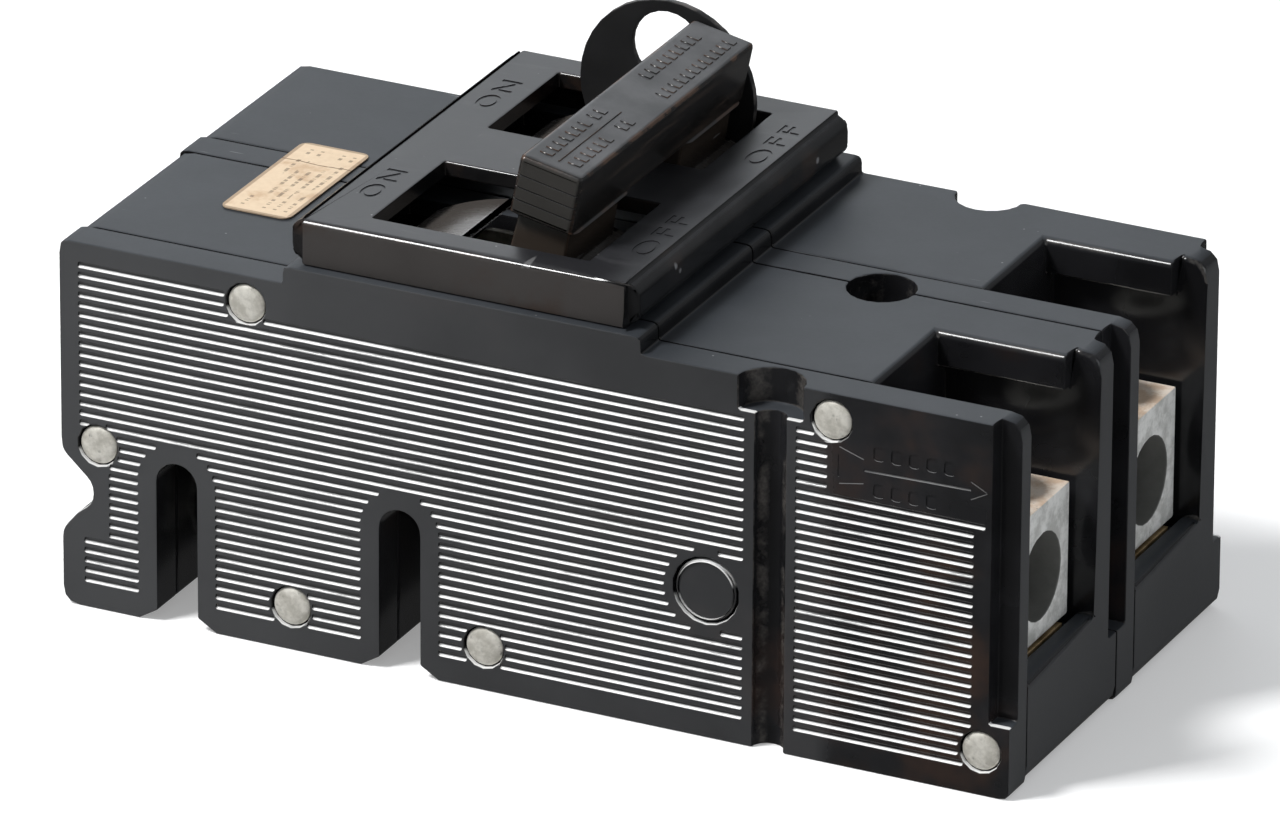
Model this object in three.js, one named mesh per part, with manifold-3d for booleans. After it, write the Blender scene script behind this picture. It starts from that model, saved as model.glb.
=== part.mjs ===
// Two-pole moulded case circuit breaker, millimetres, +Z up.
// X runs from the stab (line) end to the lug (load) end, Y across the two poles, Z up to the handle.
// The origin is the centre of the footprint, on the plane that the case rests on.
// Every pole is drawn once in its own coordinates: x from the stab end, y from the outer face of
// its side cover, z from the bottom. The handle is drawn upright and then laid over to OFF.
import * as THREE from "three";
import { mergeVertices } from "three/addons/utils/BufferGeometryUtils.js";
import Module from "manifold-3d";

// ---------- driving dimensions ----------
const poleCount = 2;
const poleWidth = 38.1;
const caseLength = 155;
const caseHeight = 59;
const seamGap = 0.2; // visible joint between mouldings
const touchGap = 0.3; // between pieces that bear on each other
const pinClearance = 0.2; // radial, pin in hole

const coverThickness = 6.35;
const shellWall = 3;
const farWall = 4;
const coverCorner = 1.6;
const baseCorner = 3;
const topEndCorner = 3.4;

const raisedHeight = 2.7; // seat of the escutcheon above the top
const raisedStart = 37;
const raisedEnd = 95.4;

const slotWidth = 6.6;
const slotTop = 26.2;
const slotCentres = [19.25, 56.2];
const slotFlare = 3.2;
const slotFlareHeight = 2;
const tunnelWall = 2;
const jawDepth = 10;

const notchDepth = 5.2;
const notchBottom = 12;
const notchTop = 25;

const mountX = 116.25;
const mountRadius = 2.5;
const mountHeadRadius = 5.2;
const mountHeadDepth = 5.5;

const rebateLength = 3.4;
const rebateDepth = 3;
const rebateBottom = 11.6;

const rivetRadius = 1.6;
const rivetHeadRadius = 3;
const rivetHeadHeight = 1.1;
const rivetPlaces = [[30.95, 54.4], [6.1, 26.7], [38.2, 7], [70, 7], [126, 54.6], [150.3, 7]];

const plugPlace = [106.1, 23.6];
const plugRadius = 5;
const plugDepth = 4.5;

const wellStart = 130.2;
const wellFloor = 17.2;
const wellDepth = 30.1; // far face of the well, from the outer face of the cover
const lipDepth = 2.8;
const lipHeight = 5.6;
const lipEnd = 150.6;

const lugLength = 20;
const lugEndSetback = 4;
const lugWidth = 22;
const lugHeight = 21.2;
const lugBore = 13.5;
const lugScrewRadius = 5.5;
const lugScrewLength = 12.5;
const lugScrewSocket = 2.8;
const strapThickness = 1.8;
const strapWidth = 14;

const escutcheonStart = 39.4;
const escutcheonEnd = 92.1;
const escutcheonTop = 68.9;
const escutcheonSetback = 1.7;
const escutcheonPlate = 2.5;
const escutcheonBead = 2;
const beadSetback = 0.8; // the beads stop short of the side faces
const windowStart = 48.2;
const windowEnd = 83.7;
const windowWidth = 23.7;

const pivotPlace = [65.9, 29.2];
const pivotPinRadius = 1.6;
const handleOffAngle = 11.5;
const shieldRatio = 0.4;
const shieldThickness = 1.5;
const shieldSlot = 17.9;
const shieldWidth = 21.4;
const stemWidth = 8.5;
const stemDepth = 17;
const stemBottomRadius = 33.4;
const barWidth = 10.4;
const barHeight = 9.7;
const barLength = poleWidth + 20.4;
const barCentreRadius = 48.65;
const barPocket = 4.8;
const yokeThickness = 1.5;
const yokeWeb = 1.9;

const plateRadius = 14.5; // padlock plate
const plateHoleRadius = 5.8;
const plateHoleLift = 6.9;
const plateThickness = 1.2;
const plateCentre = [66.9, 69.9];
const plateBottom = 61.2;

const framePlate = 1.2;
const frameInside = stemDepth + 3.4; // the handle's yoke swings between the plates
const armPivot = [58.5, 34];
const armOpenAngle = 16;
const armThickness = 5;
const armPinRadius = 1.5;
const contactSize = 6;
const contactThickness = 1.5;
const contactCentre = 18;
const fixedContactTop = 35.5;
const cradlePivot = [54, 55];
const cradleThickness = 3;
const linkAnchor = [57.5, 52];
const upperLinkLength = 8.5;
const lowerLinkLength = 10;
const linkThickness = 1.2;
const linkHalfWidth = 2.2;
const kneePinRadius = 1.1;
const kneeSlack = 1.2;
const armDrive = [-10.8, 2.5]; // from the arm's pivot to its link pin, arm closed

const tripBarPlace = [99.5, 38];
const tripBarRadius = 2.8;
const bimetalX = 106;
const bimetalThickness = 1.2;
const armatureX = 103.2;
const armatureThickness = 1.2;
const armaturePivotZ = 36;
const magnetGap = 1.2;

const labelStart = [15.8, 21];
const labelSize = [11.5, 27.4];
const labelThickness = 0.2;

const wasm = await Module();
wasm.setup();

// ---------- derived places ----------
const poleCentre = poleWidth / 2;
const pivotX = pivotPlace[0];
const pivotZ = pivotPlace[1];
const raisedTop = caseHeight + raisedHeight;
const cavityNear = coverThickness + seamGap / 2;
const cavityFar = poleWidth - farWall;
const cavityEnd = wellStart - shellWall;
const shieldRadius = escutcheonTop - escutcheonPlate - touchGap - pivotZ + 0.2;
const shieldHalfTravel = THREE.MathUtils.degToRad(handleOffAngle * shieldRatio);
const windowHalfAngle = Math.asin((windowEnd - windowStart) / 2 / shieldRadius);
const shieldHalfAngle = windowHalfAngle + shieldHalfTravel + 0.01;
const shieldReach = shieldRadius * Math.sin(shieldHalfAngle + shieldHalfTravel);
const barBottomRadius = barCentreRadius - barHeight / 2;
const strapTop = wellFloor - 0.1;
const lugBottom = strapTop + touchGap;
const lugEnd = caseLength - lugEndSetback;
const lugNear = coverThickness + 0.75;
const lugAxisY = lugNear + lugWidth / 2 + 1.5;
const lugAxisZ = lugBottom + lugHeight / 2 - 0.9;
const slotArch = slotTop - slotWidth / 2;
const frameNear = poleCentre - frameInside / 2 - framePlate;
const frameFar = poleCentre + frameInside / 2 + framePlate;

// ---------- solids ----------
const turn = (degrees) => THREE.MathUtils.degToRad(degrees);

function toSolid(geometry) {
  const bare = geometry.clone();
  bare.deleteAttribute("normal");
  bare.deleteAttribute("uv");
  const merged = mergeVertices(bare, 1e-4);
  return new wasm.Manifold(
    new wasm.Mesh({
      numProp: 3,
      vertProperties: new Float32Array(merged.attributes.position.array),
      triVerts: new Uint32Array(merged.index.array),
    }),
  );
}

function toGeometry(solid) {
  const mesh = solid.getMesh();
  const geometry = new THREE.BufferGeometry();
  geometry.setAttribute("position", new THREE.BufferAttribute(mesh.vertProperties, 3));
  geometry.setIndex(new THREE.BufferAttribute(mesh.triVerts, 1));
  geometry.computeVertexNormals();
  return geometry;
}

const joined = (first, ...rest) => rest.reduce((sum, piece) => sum.add(piece), first);
const cut = (first, ...tools) => tools.reduce((left, tool) => left.subtract(tool), first);

function box(x, y, z) {
  const geometry = new THREE.BoxGeometry(x[1] - x[0], y[1] - y[0], z[1] - z[0]);
  geometry.translate((x[0] + x[1]) / 2, (y[0] + y[1]) / 2, (z[0] + z[1]) / 2);
  return toSolid(geometry);
}

// A cylinder along the axis "x", "y" or "z", from a to b, with its centre at the other two values.
function rod(axis, radius, centre, a, b, sides = 16) {
  const geometry = new THREE.CylinderGeometry(radius, radius, b - a, sides);
  const middle = (a + b) / 2;
  if (axis === "x") {
    geometry.rotateZ(Math.PI / 2);
    geometry.translate(middle, centre[0], centre[1]);
  } else if (axis === "y") {
    geometry.translate(centre[0], middle, centre[1]);
  } else {
    geometry.rotateX(Math.PI / 2);
    geometry.translate(centre[0], centre[1], middle);
  }
  return toSolid(geometry);
}

// A closed outline from corner points [x, z, corner radius]; a radius is limited by its two edges.
function outline(corners) {
  const shape = new THREE.Shape();
  corners.forEach(([x, z, wanted = 0], i) => {
    const before = corners[(i + corners.length - 1) % corners.length];
    const after = corners[(i + 1) % corners.length];
    const corner = new THREE.Vector2(x, z);
    const back = new THREE.Vector2(before[0], before[1]).sub(corner);
    const ahead = new THREE.Vector2(after[0], after[1]).sub(corner);
    const radius = Math.min(wanted, back.length() * 0.45, ahead.length() * 0.45);
    const start = back.setLength(radius).add(corner);
    const end = ahead.setLength(radius).add(corner);
    if (i === 0) shape.moveTo(start.x, start.y);
    else shape.lineTo(start.x, start.y);
    if (radius > 0) shape.quadraticCurveTo(x, z, end.x, end.y);
  });
  shape.closePath();
  return shape;
}

// An XZ outline pulled along Y from yNear to yFar.
function slab(shape, yNear, yFar, curveSegments = 3) {
  const depth = yFar - yNear;
  const geometry = new THREE.ExtrudeGeometry(shape, { depth, bevelEnabled: false, curveSegments });
  geometry.rotateX(Math.PI / 2);
  geometry.translate(0, yFar, 0);
  return toSolid(geometry);
}

// A bent strip of even thickness along an XZ line.
function strip(points, thickness, yNear, yFar) {
  const line = points.map(([x, z]) => new THREE.Vector2(x, z));
  const side = (sign) =>
    line.map((point, i) => {
      const a = line[Math.max(i - 1, 0)];
      const b = line[Math.min(i + 1, line.length - 1)];
      const along = b.clone().sub(a).normalize();
      return [point.x - along.y * sign * thickness / 2, point.y + along.x * sign * thickness / 2];
    });
  return slab(outline([...side(-1), ...side(1).reverse()]), yNear, yFar);
}

// ---------- outlines of the mouldings ----------
function caseOutline(cornerRadius) {
  return outline([
    [0, 0, cornerRadius + 1.2],
    [caseLength, 0, cornerRadius],
    [caseLength, caseHeight, topEndCorner],
    [raisedEnd, caseHeight, 0.4],
    [raisedEnd, raisedTop, 2],
    [raisedStart, raisedTop, 1.2],
    [raisedStart, caseHeight, 0.4],
    [0, caseHeight, cornerRadius],
    [0, notchTop, 1.2],
    [notchDepth, notchTop - 4.7, 2],
    [notchDepth, notchBottom + 5.2, 1.5],
    [notchDepth / 2, notchBottom + 3.2, 0.8],
    [0, notchBottom, 1.2],
  ]);
}

function slotOutline(centre, width, top) {
  const half = width / 2;
  const shape = new THREE.Shape();
  shape.moveTo(centre - half, -1);
  shape.lineTo(centre + half, -1);
  shape.lineTo(centre + half, top - half);
  shape.absarc(centre, top - half, half, 0, Math.PI, false);
  shape.closePath();
  return shape;
}

function slotCutter(centre) {
  const flare = outline([
    [centre - slotWidth / 2 - slotFlare, 0],
    [centre - slotWidth / 2 - slotFlare, -1],
    [centre + slotWidth / 2 + slotFlare, -1],
    [centre + slotWidth / 2 + slotFlare, 0],
    [centre + slotWidth / 2 - 0.1, slotFlareHeight],
    [centre - slotWidth / 2 + 0.1, slotFlareHeight],
  ]);
  const yFar = poleWidth + 1;
  return joined(slab(slotOutline(centre, slotWidth, slotTop), -1, yFar, 6), slab(flare, -1, yFar));
}

function rivetCutters() {
  const place = (centre) =>
    joined(
      rod("y", rivetRadius + pinClearance, centre, -1, poleWidth + 1, 10),
      rod("y", rivetHeadRadius + touchGap, centre, -1, rivetHeadHeight + touchGap, 14),
      rod("y", rivetHeadRadius + touchGap, centre, poleWidth - rivetHeadHeight - touchGap, poleWidth + 1, 14),
    );
  return rivetPlaces.map(place);
}

// The half holes for a mounting screw, on the near face (y = 0) or the far face of a pole.
function mountCutters(y) {
  const seat = caseHeight - mountHeadDepth;
  return [
    rod("z", mountRadius, [mountX, y], -1, raisedTop, 16),
    rod("z", mountHeadRadius, [mountX, y], seat, raisedTop, 20),
  ];
}

// ---------- case mouldings ----------
// The near cover is whole outside; the one between the poles has a hole for the trip bar.
function makeSideCover(isBetweenPoles) {
  const body = slab(caseOutline(coverCorner), seamGap / 2, coverThickness - seamGap / 2);
  const rebate = box([caseLength - rebateLength, caseLength + 1], [-1, rebateDepth],
    [rebateBottom, caseHeight + 1]);
  const plugHole = rod("y", plugRadius + touchGap, plugPlace, -1, plugDepth + touchGap, 18);
  const tripHole = rod("y", tripBarRadius + 1.2, tripBarPlace, -1, coverThickness + 1, 12);
  const cover = cut(body, rebate, plugHole, ...slotCentres.map(slotCutter), ...rivetCutters(),
    ...mountCutters(0));
  return isBetweenPoles ? cut(cover, tripHole) : cover;
}

function makeBaseHousing(stabSlot) {
  const far = poleWidth - seamGap / 2;
  const body = slab(caseOutline(baseCorner), cavityNear, far);
  const top = caseHeight - shellWall;
  const raised = raisedTop - shellWall;
  const hollow = slab(
    outline([
      [shellWall, shellWall, 1],
      [cavityEnd, shellWall, 1],
      [cavityEnd, top, 1],
      [raisedEnd - shellWall, top],
      [raisedEnd - shellWall, raised],
      [raisedStart + shellWall, raised],
      [raisedStart + shellWall, top],
      [shellWall, top, 1],
    ]),
    0,
    cavityFar,
  );
  const tunnels = slotCentres.map((centre) =>
    slab(slotOutline(centre, slotWidth + 2 * tunnelWall, slotTop + tunnelWall), cavityNear, far, 4),
  );
  const bosses = rivetPlaces.map((centre) =>
    rod("y", rivetRadius + 2, centre, cavityNear, far, 10),
  );
  const notchBlock = box([1, notchDepth + shellWall], [cavityNear, far], [notchBottom - 3, notchTop + 3]);
  const mountBoss = box([mountX - mountHeadRadius - 1.5, mountX + mountHeadRadius + 1.5],
    [poleWidth - mountHeadRadius - 1.6, far], [caseHeight - mountHeadDepth - 3, caseHeight - 1]);
  const filled = joined(cut(body, hollow), ...tunnels, ...bosses, notchBlock, mountBoss)
    .intersect(slab(caseOutline(baseCorner), cavityNear, far));

  const handleHole = box([pivotX - shieldReach - 1, pivotX + shieldReach + 1],
    [0, poleCentre + windowWidth / 2 + 1], [raised - 1, raisedTop + 1]);
  const well = box([wellStart, caseLength + 1], [0, wellDepth], [wellFloor, caseHeight + 1]);
  const wellPit = box([wellStart, lugEnd + 0.8], [0, wellDepth],
    [strapTop - strapThickness - 0.2, wellFloor + 1]);
  const lip = slab(
    outline([
      [wellStart - 1, caseHeight],
      [wellStart - 1, caseHeight - lipHeight],
      [lipEnd, caseHeight - lipHeight],
      [lipEnd, caseHeight],
    ]),
    wellDepth - lipDepth,
    wellDepth + 1,
  );
  const strapHole = box([cavityEnd - 1, wellStart + 1],
    [poleCentre - strapWidth / 2 - touchGap, poleCentre + strapWidth / 2 + touchGap],
    [strapTop - strapThickness - touchGap, strapTop + touchGap]);
  const rebate = box([caseLength - rebateLength, caseLength + 1], [poleWidth - rebateDepth, poleWidth + 1],
    [rebateBottom, caseHeight + 1]);
  const tripHole = rod("y", tripBarRadius + 1.2, tripBarPlace, cavityFar - 1, poleWidth + 1, 12);
  const jawHole = box([stabSlot - 2.2, stabSlot + 2.2],
    [poleCentre - jawDepth / 2 - 0.5, poleCentre + jawDepth / 2 + 0.5], [slotArch, slotTop + tunnelWall + 1]);
  const hollowed = cut(filled, handleHole, well, wellPit, strapHole, rebate, tripHole, jawHole);
  return cut(joined(hollowed, lip), ...slotCentres.map(slotCutter), ...rivetCutters(),
    ...mountCutters(poleWidth));
}

function makeEscutcheon() {
  const half = (poleCount * poleWidth) / 2 - escutcheonSetback;
  const seat = raisedTop + seamGap;
  const bead = escutcheonBead;
  const profile = outline([
    [escutcheonStart, seat, 0.6],
    [escutcheonEnd, seat, 0.6],
    [escutcheonEnd + bead, seat + 1.4, 1.6],
    [escutcheonEnd + bead, escutcheonTop - 1.3, 1.8],
    [escutcheonEnd, escutcheonTop, 1],
    [escutcheonStart, escutcheonTop, 1],
    [escutcheonStart - bead, escutcheonTop - 1.3, 1.8],
    [escutcheonStart - bead, seat + 1.4, 1.6],
  ]);
  const windows = [-1, 1].map((side) =>
    box([windowStart, windowEnd],
      [side * poleCentre - windowWidth / 2, side * poleCentre + windowWidth / 2],
      [seat - 1, escutcheonTop + 1]),
  );
  const recess = box([escutcheonStart + 1, escutcheonEnd - 1], [-half + 2.4, half - 2.4],
    [seat - 1, escutcheonTop - escutcheonPlate]);
  const beaded = slab(profile, -half + beadSetback, half - beadSetback);
  const plain = box([escutcheonStart, escutcheonEnd], [-half, half], [seat, escutcheonTop]);
  return cut(joined(beaded, plain), recess, ...windows);
}

// ---------- line side ----------
function makeStabJaw(centre) {
  const half = [[0, 27.75], [1.3, 27.6], [1.55, 25.8], [2.5, 21], [1.75, 13], [1.9, 11.6], [2.7, 8]];
  const right = half.map(([x, z]) => [centre + x, z]);
  const left = half.slice(1).map(([x, z]) => [centre - x, z]).reverse();
  return strip([...left, ...right], 0.8, poleCentre - jawDepth / 2, poleCentre + jawDepth / 2);
}

function makeLineStrap(centre) {
  const low = slotTop + tunnelWall + touchGap;
  const lowTop = low + strapThickness - 0.2;
  const high = fixedContactTop - contactThickness - touchGap;
  const edge = contactCentre + 7;
  const near = poleCentre - jawDepth / 2;
  const far = poleCentre + jawDepth / 2;
  const head = box([contactCentre - 4, edge], [near, far], [high - strapThickness, high]);
  const riser = box([edge - strapThickness, edge], [near, far], [low, high]);
  if (centre < edge) return joined(head, riser, box([centre - 3, edge], [near, far], [low, lowTop]));
  const runNear = poleCentre + armThickness / 2 + 0.9;
  const runFar = runNear + 7;
  const run = box([edge - strapThickness, centre + 3], [runNear, runFar], [low, lowTop]);
  const pad = box([centre - 3, centre + 3], [near, runFar], [low, lowTop]);
  return joined(head, riser, run, pad);
}

function makeContactPad(bottom) {
  const half = contactSize / 2;
  return box([contactCentre - half, contactCentre + half], [poleCentre - half, poleCentre + half],
    [bottom, bottom + contactThickness]);
}

function makeArcChute() {
  const start = shellWall + 1;
  const low = 31.2;
  const high = caseHeight - shellWall - 1;
  const reach = 22.5;
  const wallNear = poleCentre - 8.6;
  const wallFar = poleCentre + 8.6;
  const walls = [[wallNear, wallNear + 1.2], [wallFar - 1.2, wallFar]].map((y) =>
    box([start, start + reach], y, [low, high]),
  );
  const plateCount = 8;
  const pitch = (high - low - 1.2) / (plateCount - 1);
  const plates = Array.from({ length: plateCount }, (_, i) =>
    box([start, start + 9.5], [wallNear, wallFar], [low + i * pitch, low + i * pitch + 1.2]),
  );
  return joined(...walls, ...plates);
}

// The contact arm, drawn closed about its own pivot.
function makeContactArm() {
  const tip = contactCentre - 3 - armPivot[0];
  const under = fixedContactTop + contactThickness + 2 * touchGap - armPivot[1];
  const blade = slab(
    outline([
      [tip, under],
      [contactCentre + 4 - armPivot[0], under, 1],
      [-8, -2.4, 2],
      [0, -3.2, 2],
      [7.5, -0.8, 1],
      [7.5, 3.2, 1],
      [0, 3.4, 2],
      [-10, 5.2, 2],
      [tip, under + 4.2, 1],
    ]),
    poleCentre - armThickness / 2,
    poleCentre + armThickness / 2,
  );
  const hole = rod("y", armPinRadius + pinClearance, [0, 0], 0, poleWidth, 12);
  const driveHole = rod("y", kneePinRadius + pinClearance, armDrive, poleCentre, poleWidth, 16);
  return cut(blade, hole, driveHole);
}

// ---------- switching mechanism ----------
function makeMechanismFrame() {
  const plate = (near) =>
    slab(
      outline([
        [74.8, 4.2, 0.6],
        [96, 4.2, 0.6],
        [96, 38, 1],
        [90, 50, 2],
        [76, 60, 2],
        [55.5, 60, 1],
        [50.5, 53, 2],
        [50.5, 31.2, 1],
        [64.6, 31.2],
        [64.6, 12, 1],
        [74.8, 12],
      ]),
      near,
      near + framePlate,
      3,
    );
  const web = box([76, 94], [frameNear, frameFar], [4.2, 4.2 + framePlate]);
  const armPin = rod("y", armPinRadius, armPivot, frameNear, frameFar, 12);
  const cradlePin = rod("y", armPinRadius, cradlePivot, frameNear, frameFar, 12);
  const pivotHole = rod("y", pivotPinRadius + pinClearance, pivotPlace, 0, poleWidth, 12);
  const plates = joined(plate(frameNear), plate(frameFar - framePlate), web);
  return joined(cut(plates, pivotHole), armPin, cradlePin);
}

function makePivotPin() {
  return rod("y", pivotPinRadius, pivotPlace, frameNear - 0.6, frameFar + 0.6, 12);
}

// The handle pieces, drawn upright about the handle's pivot.
function makeHandleStem() {
  const half = stemWidth / 2;
  const top = barBottomRadius + barPocket - touchGap;
  return slab(
    outline([
      [-half - 0.4, stemBottomRadius],
      [half + 0.4, stemBottomRadius],
      [half, barBottomRadius, 0.1],
      [half - 0.6, top, 0.5],
      [-half + 0.6, top, 0.5],
      [-half, barBottomRadius, 0.1],
    ]),
    poleCentre - stemDepth / 2,
    poleCentre + stemDepth / 2,
  );
}

function makeHandleYoke() {
  const near = poleCentre - stemDepth / 2 - 0.6;
  const far = poleCentre + stemDepth / 2 + 0.6;
  const webTop = stemBottomRadius - touchGap;
  const leg = (y) =>
    slab(
      outline([
        [-4, webTop],
        [-4, 16, 2],
        [-3.2, 6, 2],
        [-3.4, -3.4, 2.4],
        [3.4, -3.4, 2.4],
        [3.2, 6, 2],
        [4, 16, 2],
        [4, webTop],
      ]),
      y,
      y + yokeThickness,
    );
  const web = box([-4, 4], [near, far], [webTop - yokeWeb, webTop]);
  const hole = rod("y", pivotPinRadius + pinClearance, [0, 0], 0, poleWidth, 12);
  return cut(joined(web, leg(near), leg(far - yokeThickness)), hole);
}

function makeTieBar() {
  const half = barWidth / 2;
  const bottom = barBottomRadius;
  const top = bottom + barHeight;
  const body = slab(
    outline([
      [-half, bottom, 0.6],
      [half, bottom, 0.6],
      [half, top, 0.8],
      [-half, top, 0.8],
    ]),
    -barLength / 2,
    barLength / 2,
  );
  const pockets = [-1, 1].map((side) =>
    box([-stemWidth / 2 - touchGap, stemWidth / 2 + touchGap],
      [side * poleCentre - stemDepth / 2 - touchGap, side * poleCentre + stemDepth / 2 + touchGap],
      [bottom - 1, bottom + barPocket]),
  );
  return cut(body, ...pockets);
}

// The arc shield, drawn with its slot centred above the pivot.
function makeArcShield() {
  const outer = shieldRadius;
  const inner = shieldRadius - shieldThickness;
  const start = Math.PI / 2 - shieldHalfAngle;
  const end = Math.PI / 2 + shieldHalfAngle;
  const shape = new THREE.Shape();
  shape.absarc(0, 0, outer, start, end, false);
  shape.absarc(0, 0, inner, end, start, true);
  shape.closePath();
  const near = poleCentre - windowWidth / 2 + 0.6;
  const shell = slab(shape, near, near + shieldWidth, 12);
  const slot = box([-shieldSlot / 2, shieldSlot / 2],
    [poleCentre - stemDepth / 2 - 0.5, poleCentre + stemDepth / 2 + 0.5], [inner - 4, outer + 4]);
  return cut(shell, slot);
}

function makeCradle() {
  const y = poleCentre - cradleThickness / 2;
  const lever = slab(
    outline([
      [51, 55, 2],
      [53, 58, 2],
      [58, 57, 2],
      [72, 52.5, 3],
      [93.6, 43.5, 1],
      [94.4, 39.7, 0.5],
      [91.6, 39.7, 0.5],
      [90, 41.5, 1],
      [72, 48, 3],
      [57.5, 49, 2],
      [52.5, 51.4, 2],
    ]),
    y,
    y + cradleThickness,
  );
  const pinHole = rod("y", armPinRadius + pinClearance, cradlePivot, 0, poleWidth, 12);
  const linkHole = rod("y", kneePinRadius + pinClearance, linkAnchor, 0, poleWidth, 10);
  return cut(lever, pinHole, linkHole);
}

// A link lies along its own -Z from its upper pin.
function makeUpperLink() {
  const near = poleCentre + armThickness / 2 + 1.9;
  const far = near + linkThickness;
  const eye = kneePinRadius + kneeSlack;
  const bar = box([-linkHalfWidth, linkHalfWidth], [near, far], [-upperLinkLength, 0]);
  const top = rod("y", linkHalfWidth, [0, 0], near, far, 12);
  const bottom = rod("y", eye + 1.2, [0, -upperLinkLength], near, far, 14);
  const pin = rod("y", kneePinRadius, [0, 0], poleCentre - cradleThickness / 2 + 0.3, far, 10);
  const hole = rod("y", eye, [0, -upperLinkLength], 0, poleWidth, 14);
  return joined(cut(joined(bar, top, bottom), hole), pin);
}

function makeLowerLink() {
  const near = poleCentre + armThickness / 2 + 0.3;
  const far = near + linkThickness;
  const bar = box([-linkHalfWidth + 0.4, linkHalfWidth - 0.4], [near, far], [-lowerLinkLength, 0]);
  const ends = [0, -lowerLinkLength].map((z) => rod("y", linkHalfWidth - 0.2, [0, z], near, far, 12));
  const kneePin = rod("y", kneePinRadius, [0, 0], near, far + linkThickness + 1, 10);
  const drivePin = rod("y", kneePinRadius, [0, -lowerLinkLength], poleCentre + 0.5, far, 10);
  return joined(bar, ...ends, kneePin, drivePin);
}

// The main spring, drawn along +Z from its lower hook.
function makeMainSpring(length) {
  const y = poleCentre + armThickness / 2 + 3.7;
  const coil = rod("z", 1.3, [0, y], length * 0.28, length * 0.86, 12);
  const hooks = rod("z", 0.5, [0, y], kneePinRadius + touchGap, length - 0.2, 8);
  return joined(coil, hooks);
}

function makeTripBar() {
  const start = -poleWidth + frameNear + 2;
  const end = poleWidth - 9;
  const shaft = rod("y", tripBarRadius, tripBarPlace, start, end);
  const arms = [-poleWidth, 0].map((offset) => {
    const y = [offset + poleCentre - 2.6, offset + poleCentre + 2.6];
    const [x, z] = tripBarPlace;
    const latch = box([x - 7, x], y, [z - 1.2, z + 1.2]);
    const flag = box([x - 1, x + 1], y, [z, z + 12]);
    const nose = box([x, armatureX - magnetGap], y, [z + 8, z + 12]);
    return joined(latch, flag, nose);
  });
  return joined(shaft, ...arms);
}

// ---------- trip unit and load side ----------
function makeBimetal() {
  return box([bimetalX, bimetalX + bimetalThickness], [poleCentre - 5, poleCentre + 5], [9.2, 50]);
}

function makeMagnetYoke() {
  const x = [armatureX + armatureThickness + magnetGap, bimetalX + bimetalThickness + 3.4];
  const z = [20, 34];
  const outside = box(x, [poleCentre - 6.8, poleCentre + 6.8], z);
  const inside = box([x[0] - 1, bimetalX + bimetalThickness + 1.4], [poleCentre - 5.5, poleCentre + 5.5],
    [z[0] - 1, z[1] + 1]);
  return cut(outside, inside);
}

function makeArmature() {
  const x = [armatureX, armatureX + armatureThickness];
  const plate = box(x, [poleCentre - 5.2, poleCentre + 5.2], [20, 49]);
  const pivot = [(x[0] + x[1]) / 2, armaturePivotZ];
  return joined(plate, rod("y", 0.9, pivot, poleCentre - 7.5, poleCentre + 7.5, 10));
}

function makeBraid() {
  const curve = new THREE.CatmullRomCurve3([
    new THREE.Vector3(69.2, poleCentre, 34),
    new THREE.Vector3(76, poleCentre, 32),
    new THREE.Vector3(84, poleCentre, 20),
    new THREE.Vector3(95, poleCentre, 12.5),
    new THREE.Vector3(105.5, poleCentre, 13),
  ]);
  const section = new THREE.Shape();
  section.moveTo(-1.1, -3);
  section.lineTo(1.1, -3);
  section.lineTo(1.1, 3);
  section.lineTo(-1.1, 3);
  section.closePath();
  const geometry = new THREE.ExtrudeGeometry(section, { steps: 16, bevelEnabled: false, extrudePath: curve });
  return toSolid(geometry);
}

function makeLoadStrap() {
  const y = [poleCentre - strapWidth / 2, poleCentre + strapWidth / 2];
  const low = [bimetalX - 2, 7, 7 + strapThickness];
  const foot = box([low[0], 113], y, [low[1], low[2]]);
  const riser = box([113 - strapThickness, 113], y, [low[1], strapTop]);
  const run = box([113 - strapThickness, lugEnd + 0.4], y, [strapTop - strapThickness, strapTop]);
  return joined(foot, riser, run);
}

function makeLug() {
  const x = [lugEnd - lugLength, lugEnd];
  const block = box(x, [lugNear, lugNear + lugWidth], [lugBottom, lugBottom + lugHeight]);
  const bore = rod("x", lugBore / 2, [lugAxisY, lugAxisZ], x[0] - 1, x[1] + 1, 24);
  const thread = rod("z", lugScrewRadius + pinClearance, [(x[0] + x[1]) / 2, lugAxisY], lugAxisZ,
    lugBottom + lugHeight + 1, 20);
  return cut(block, bore, thread);
}

function makeLugScrew() {
  const centre = [lugEnd - lugLength / 2, lugAxisY];
  const bottom = lugAxisZ + lugBore / 2 - 0.4;
  const body = rod("z", lugScrewRadius, centre, bottom, bottom + lugScrewLength, 20);
  const top = bottom + lugScrewLength;
  return cut(body, rod("z", lugScrewSocket, centre, top - 5, top + 1, 6));
}

// ---------- small outside pieces ----------
function makeRivet(place) {
  const half = (poleCount * poleWidth - seamGap) / 2;
  const crown = 0.35;
  const profile = [
    [0, -half],
    [rivetHeadRadius * 0.6, -half + crown * 0.4],
    [rivetHeadRadius, -half + crown + 0.4],
    [rivetHeadRadius, -half + rivetHeadHeight],
    [rivetRadius, -half + rivetHeadHeight],
    [rivetRadius, half - rivetHeadHeight],
    [rivetHeadRadius, half - rivetHeadHeight],
    [rivetHeadRadius, half - crown - 0.4],
    [rivetHeadRadius * 0.6, half - crown * 0.4],
    [0, half],
  ].map(([r, y]) => new THREE.Vector2(r, y));
  const geometry = new THREE.LatheGeometry(profile, 14);
  geometry.translate(place[0], 0, place[1]);
  return toSolid(geometry);
}

function makeSidePlug() {
  return rod("y", plugRadius, plugPlace, seamGap / 2 + 0.3, plugDepth, 18);
}

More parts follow.
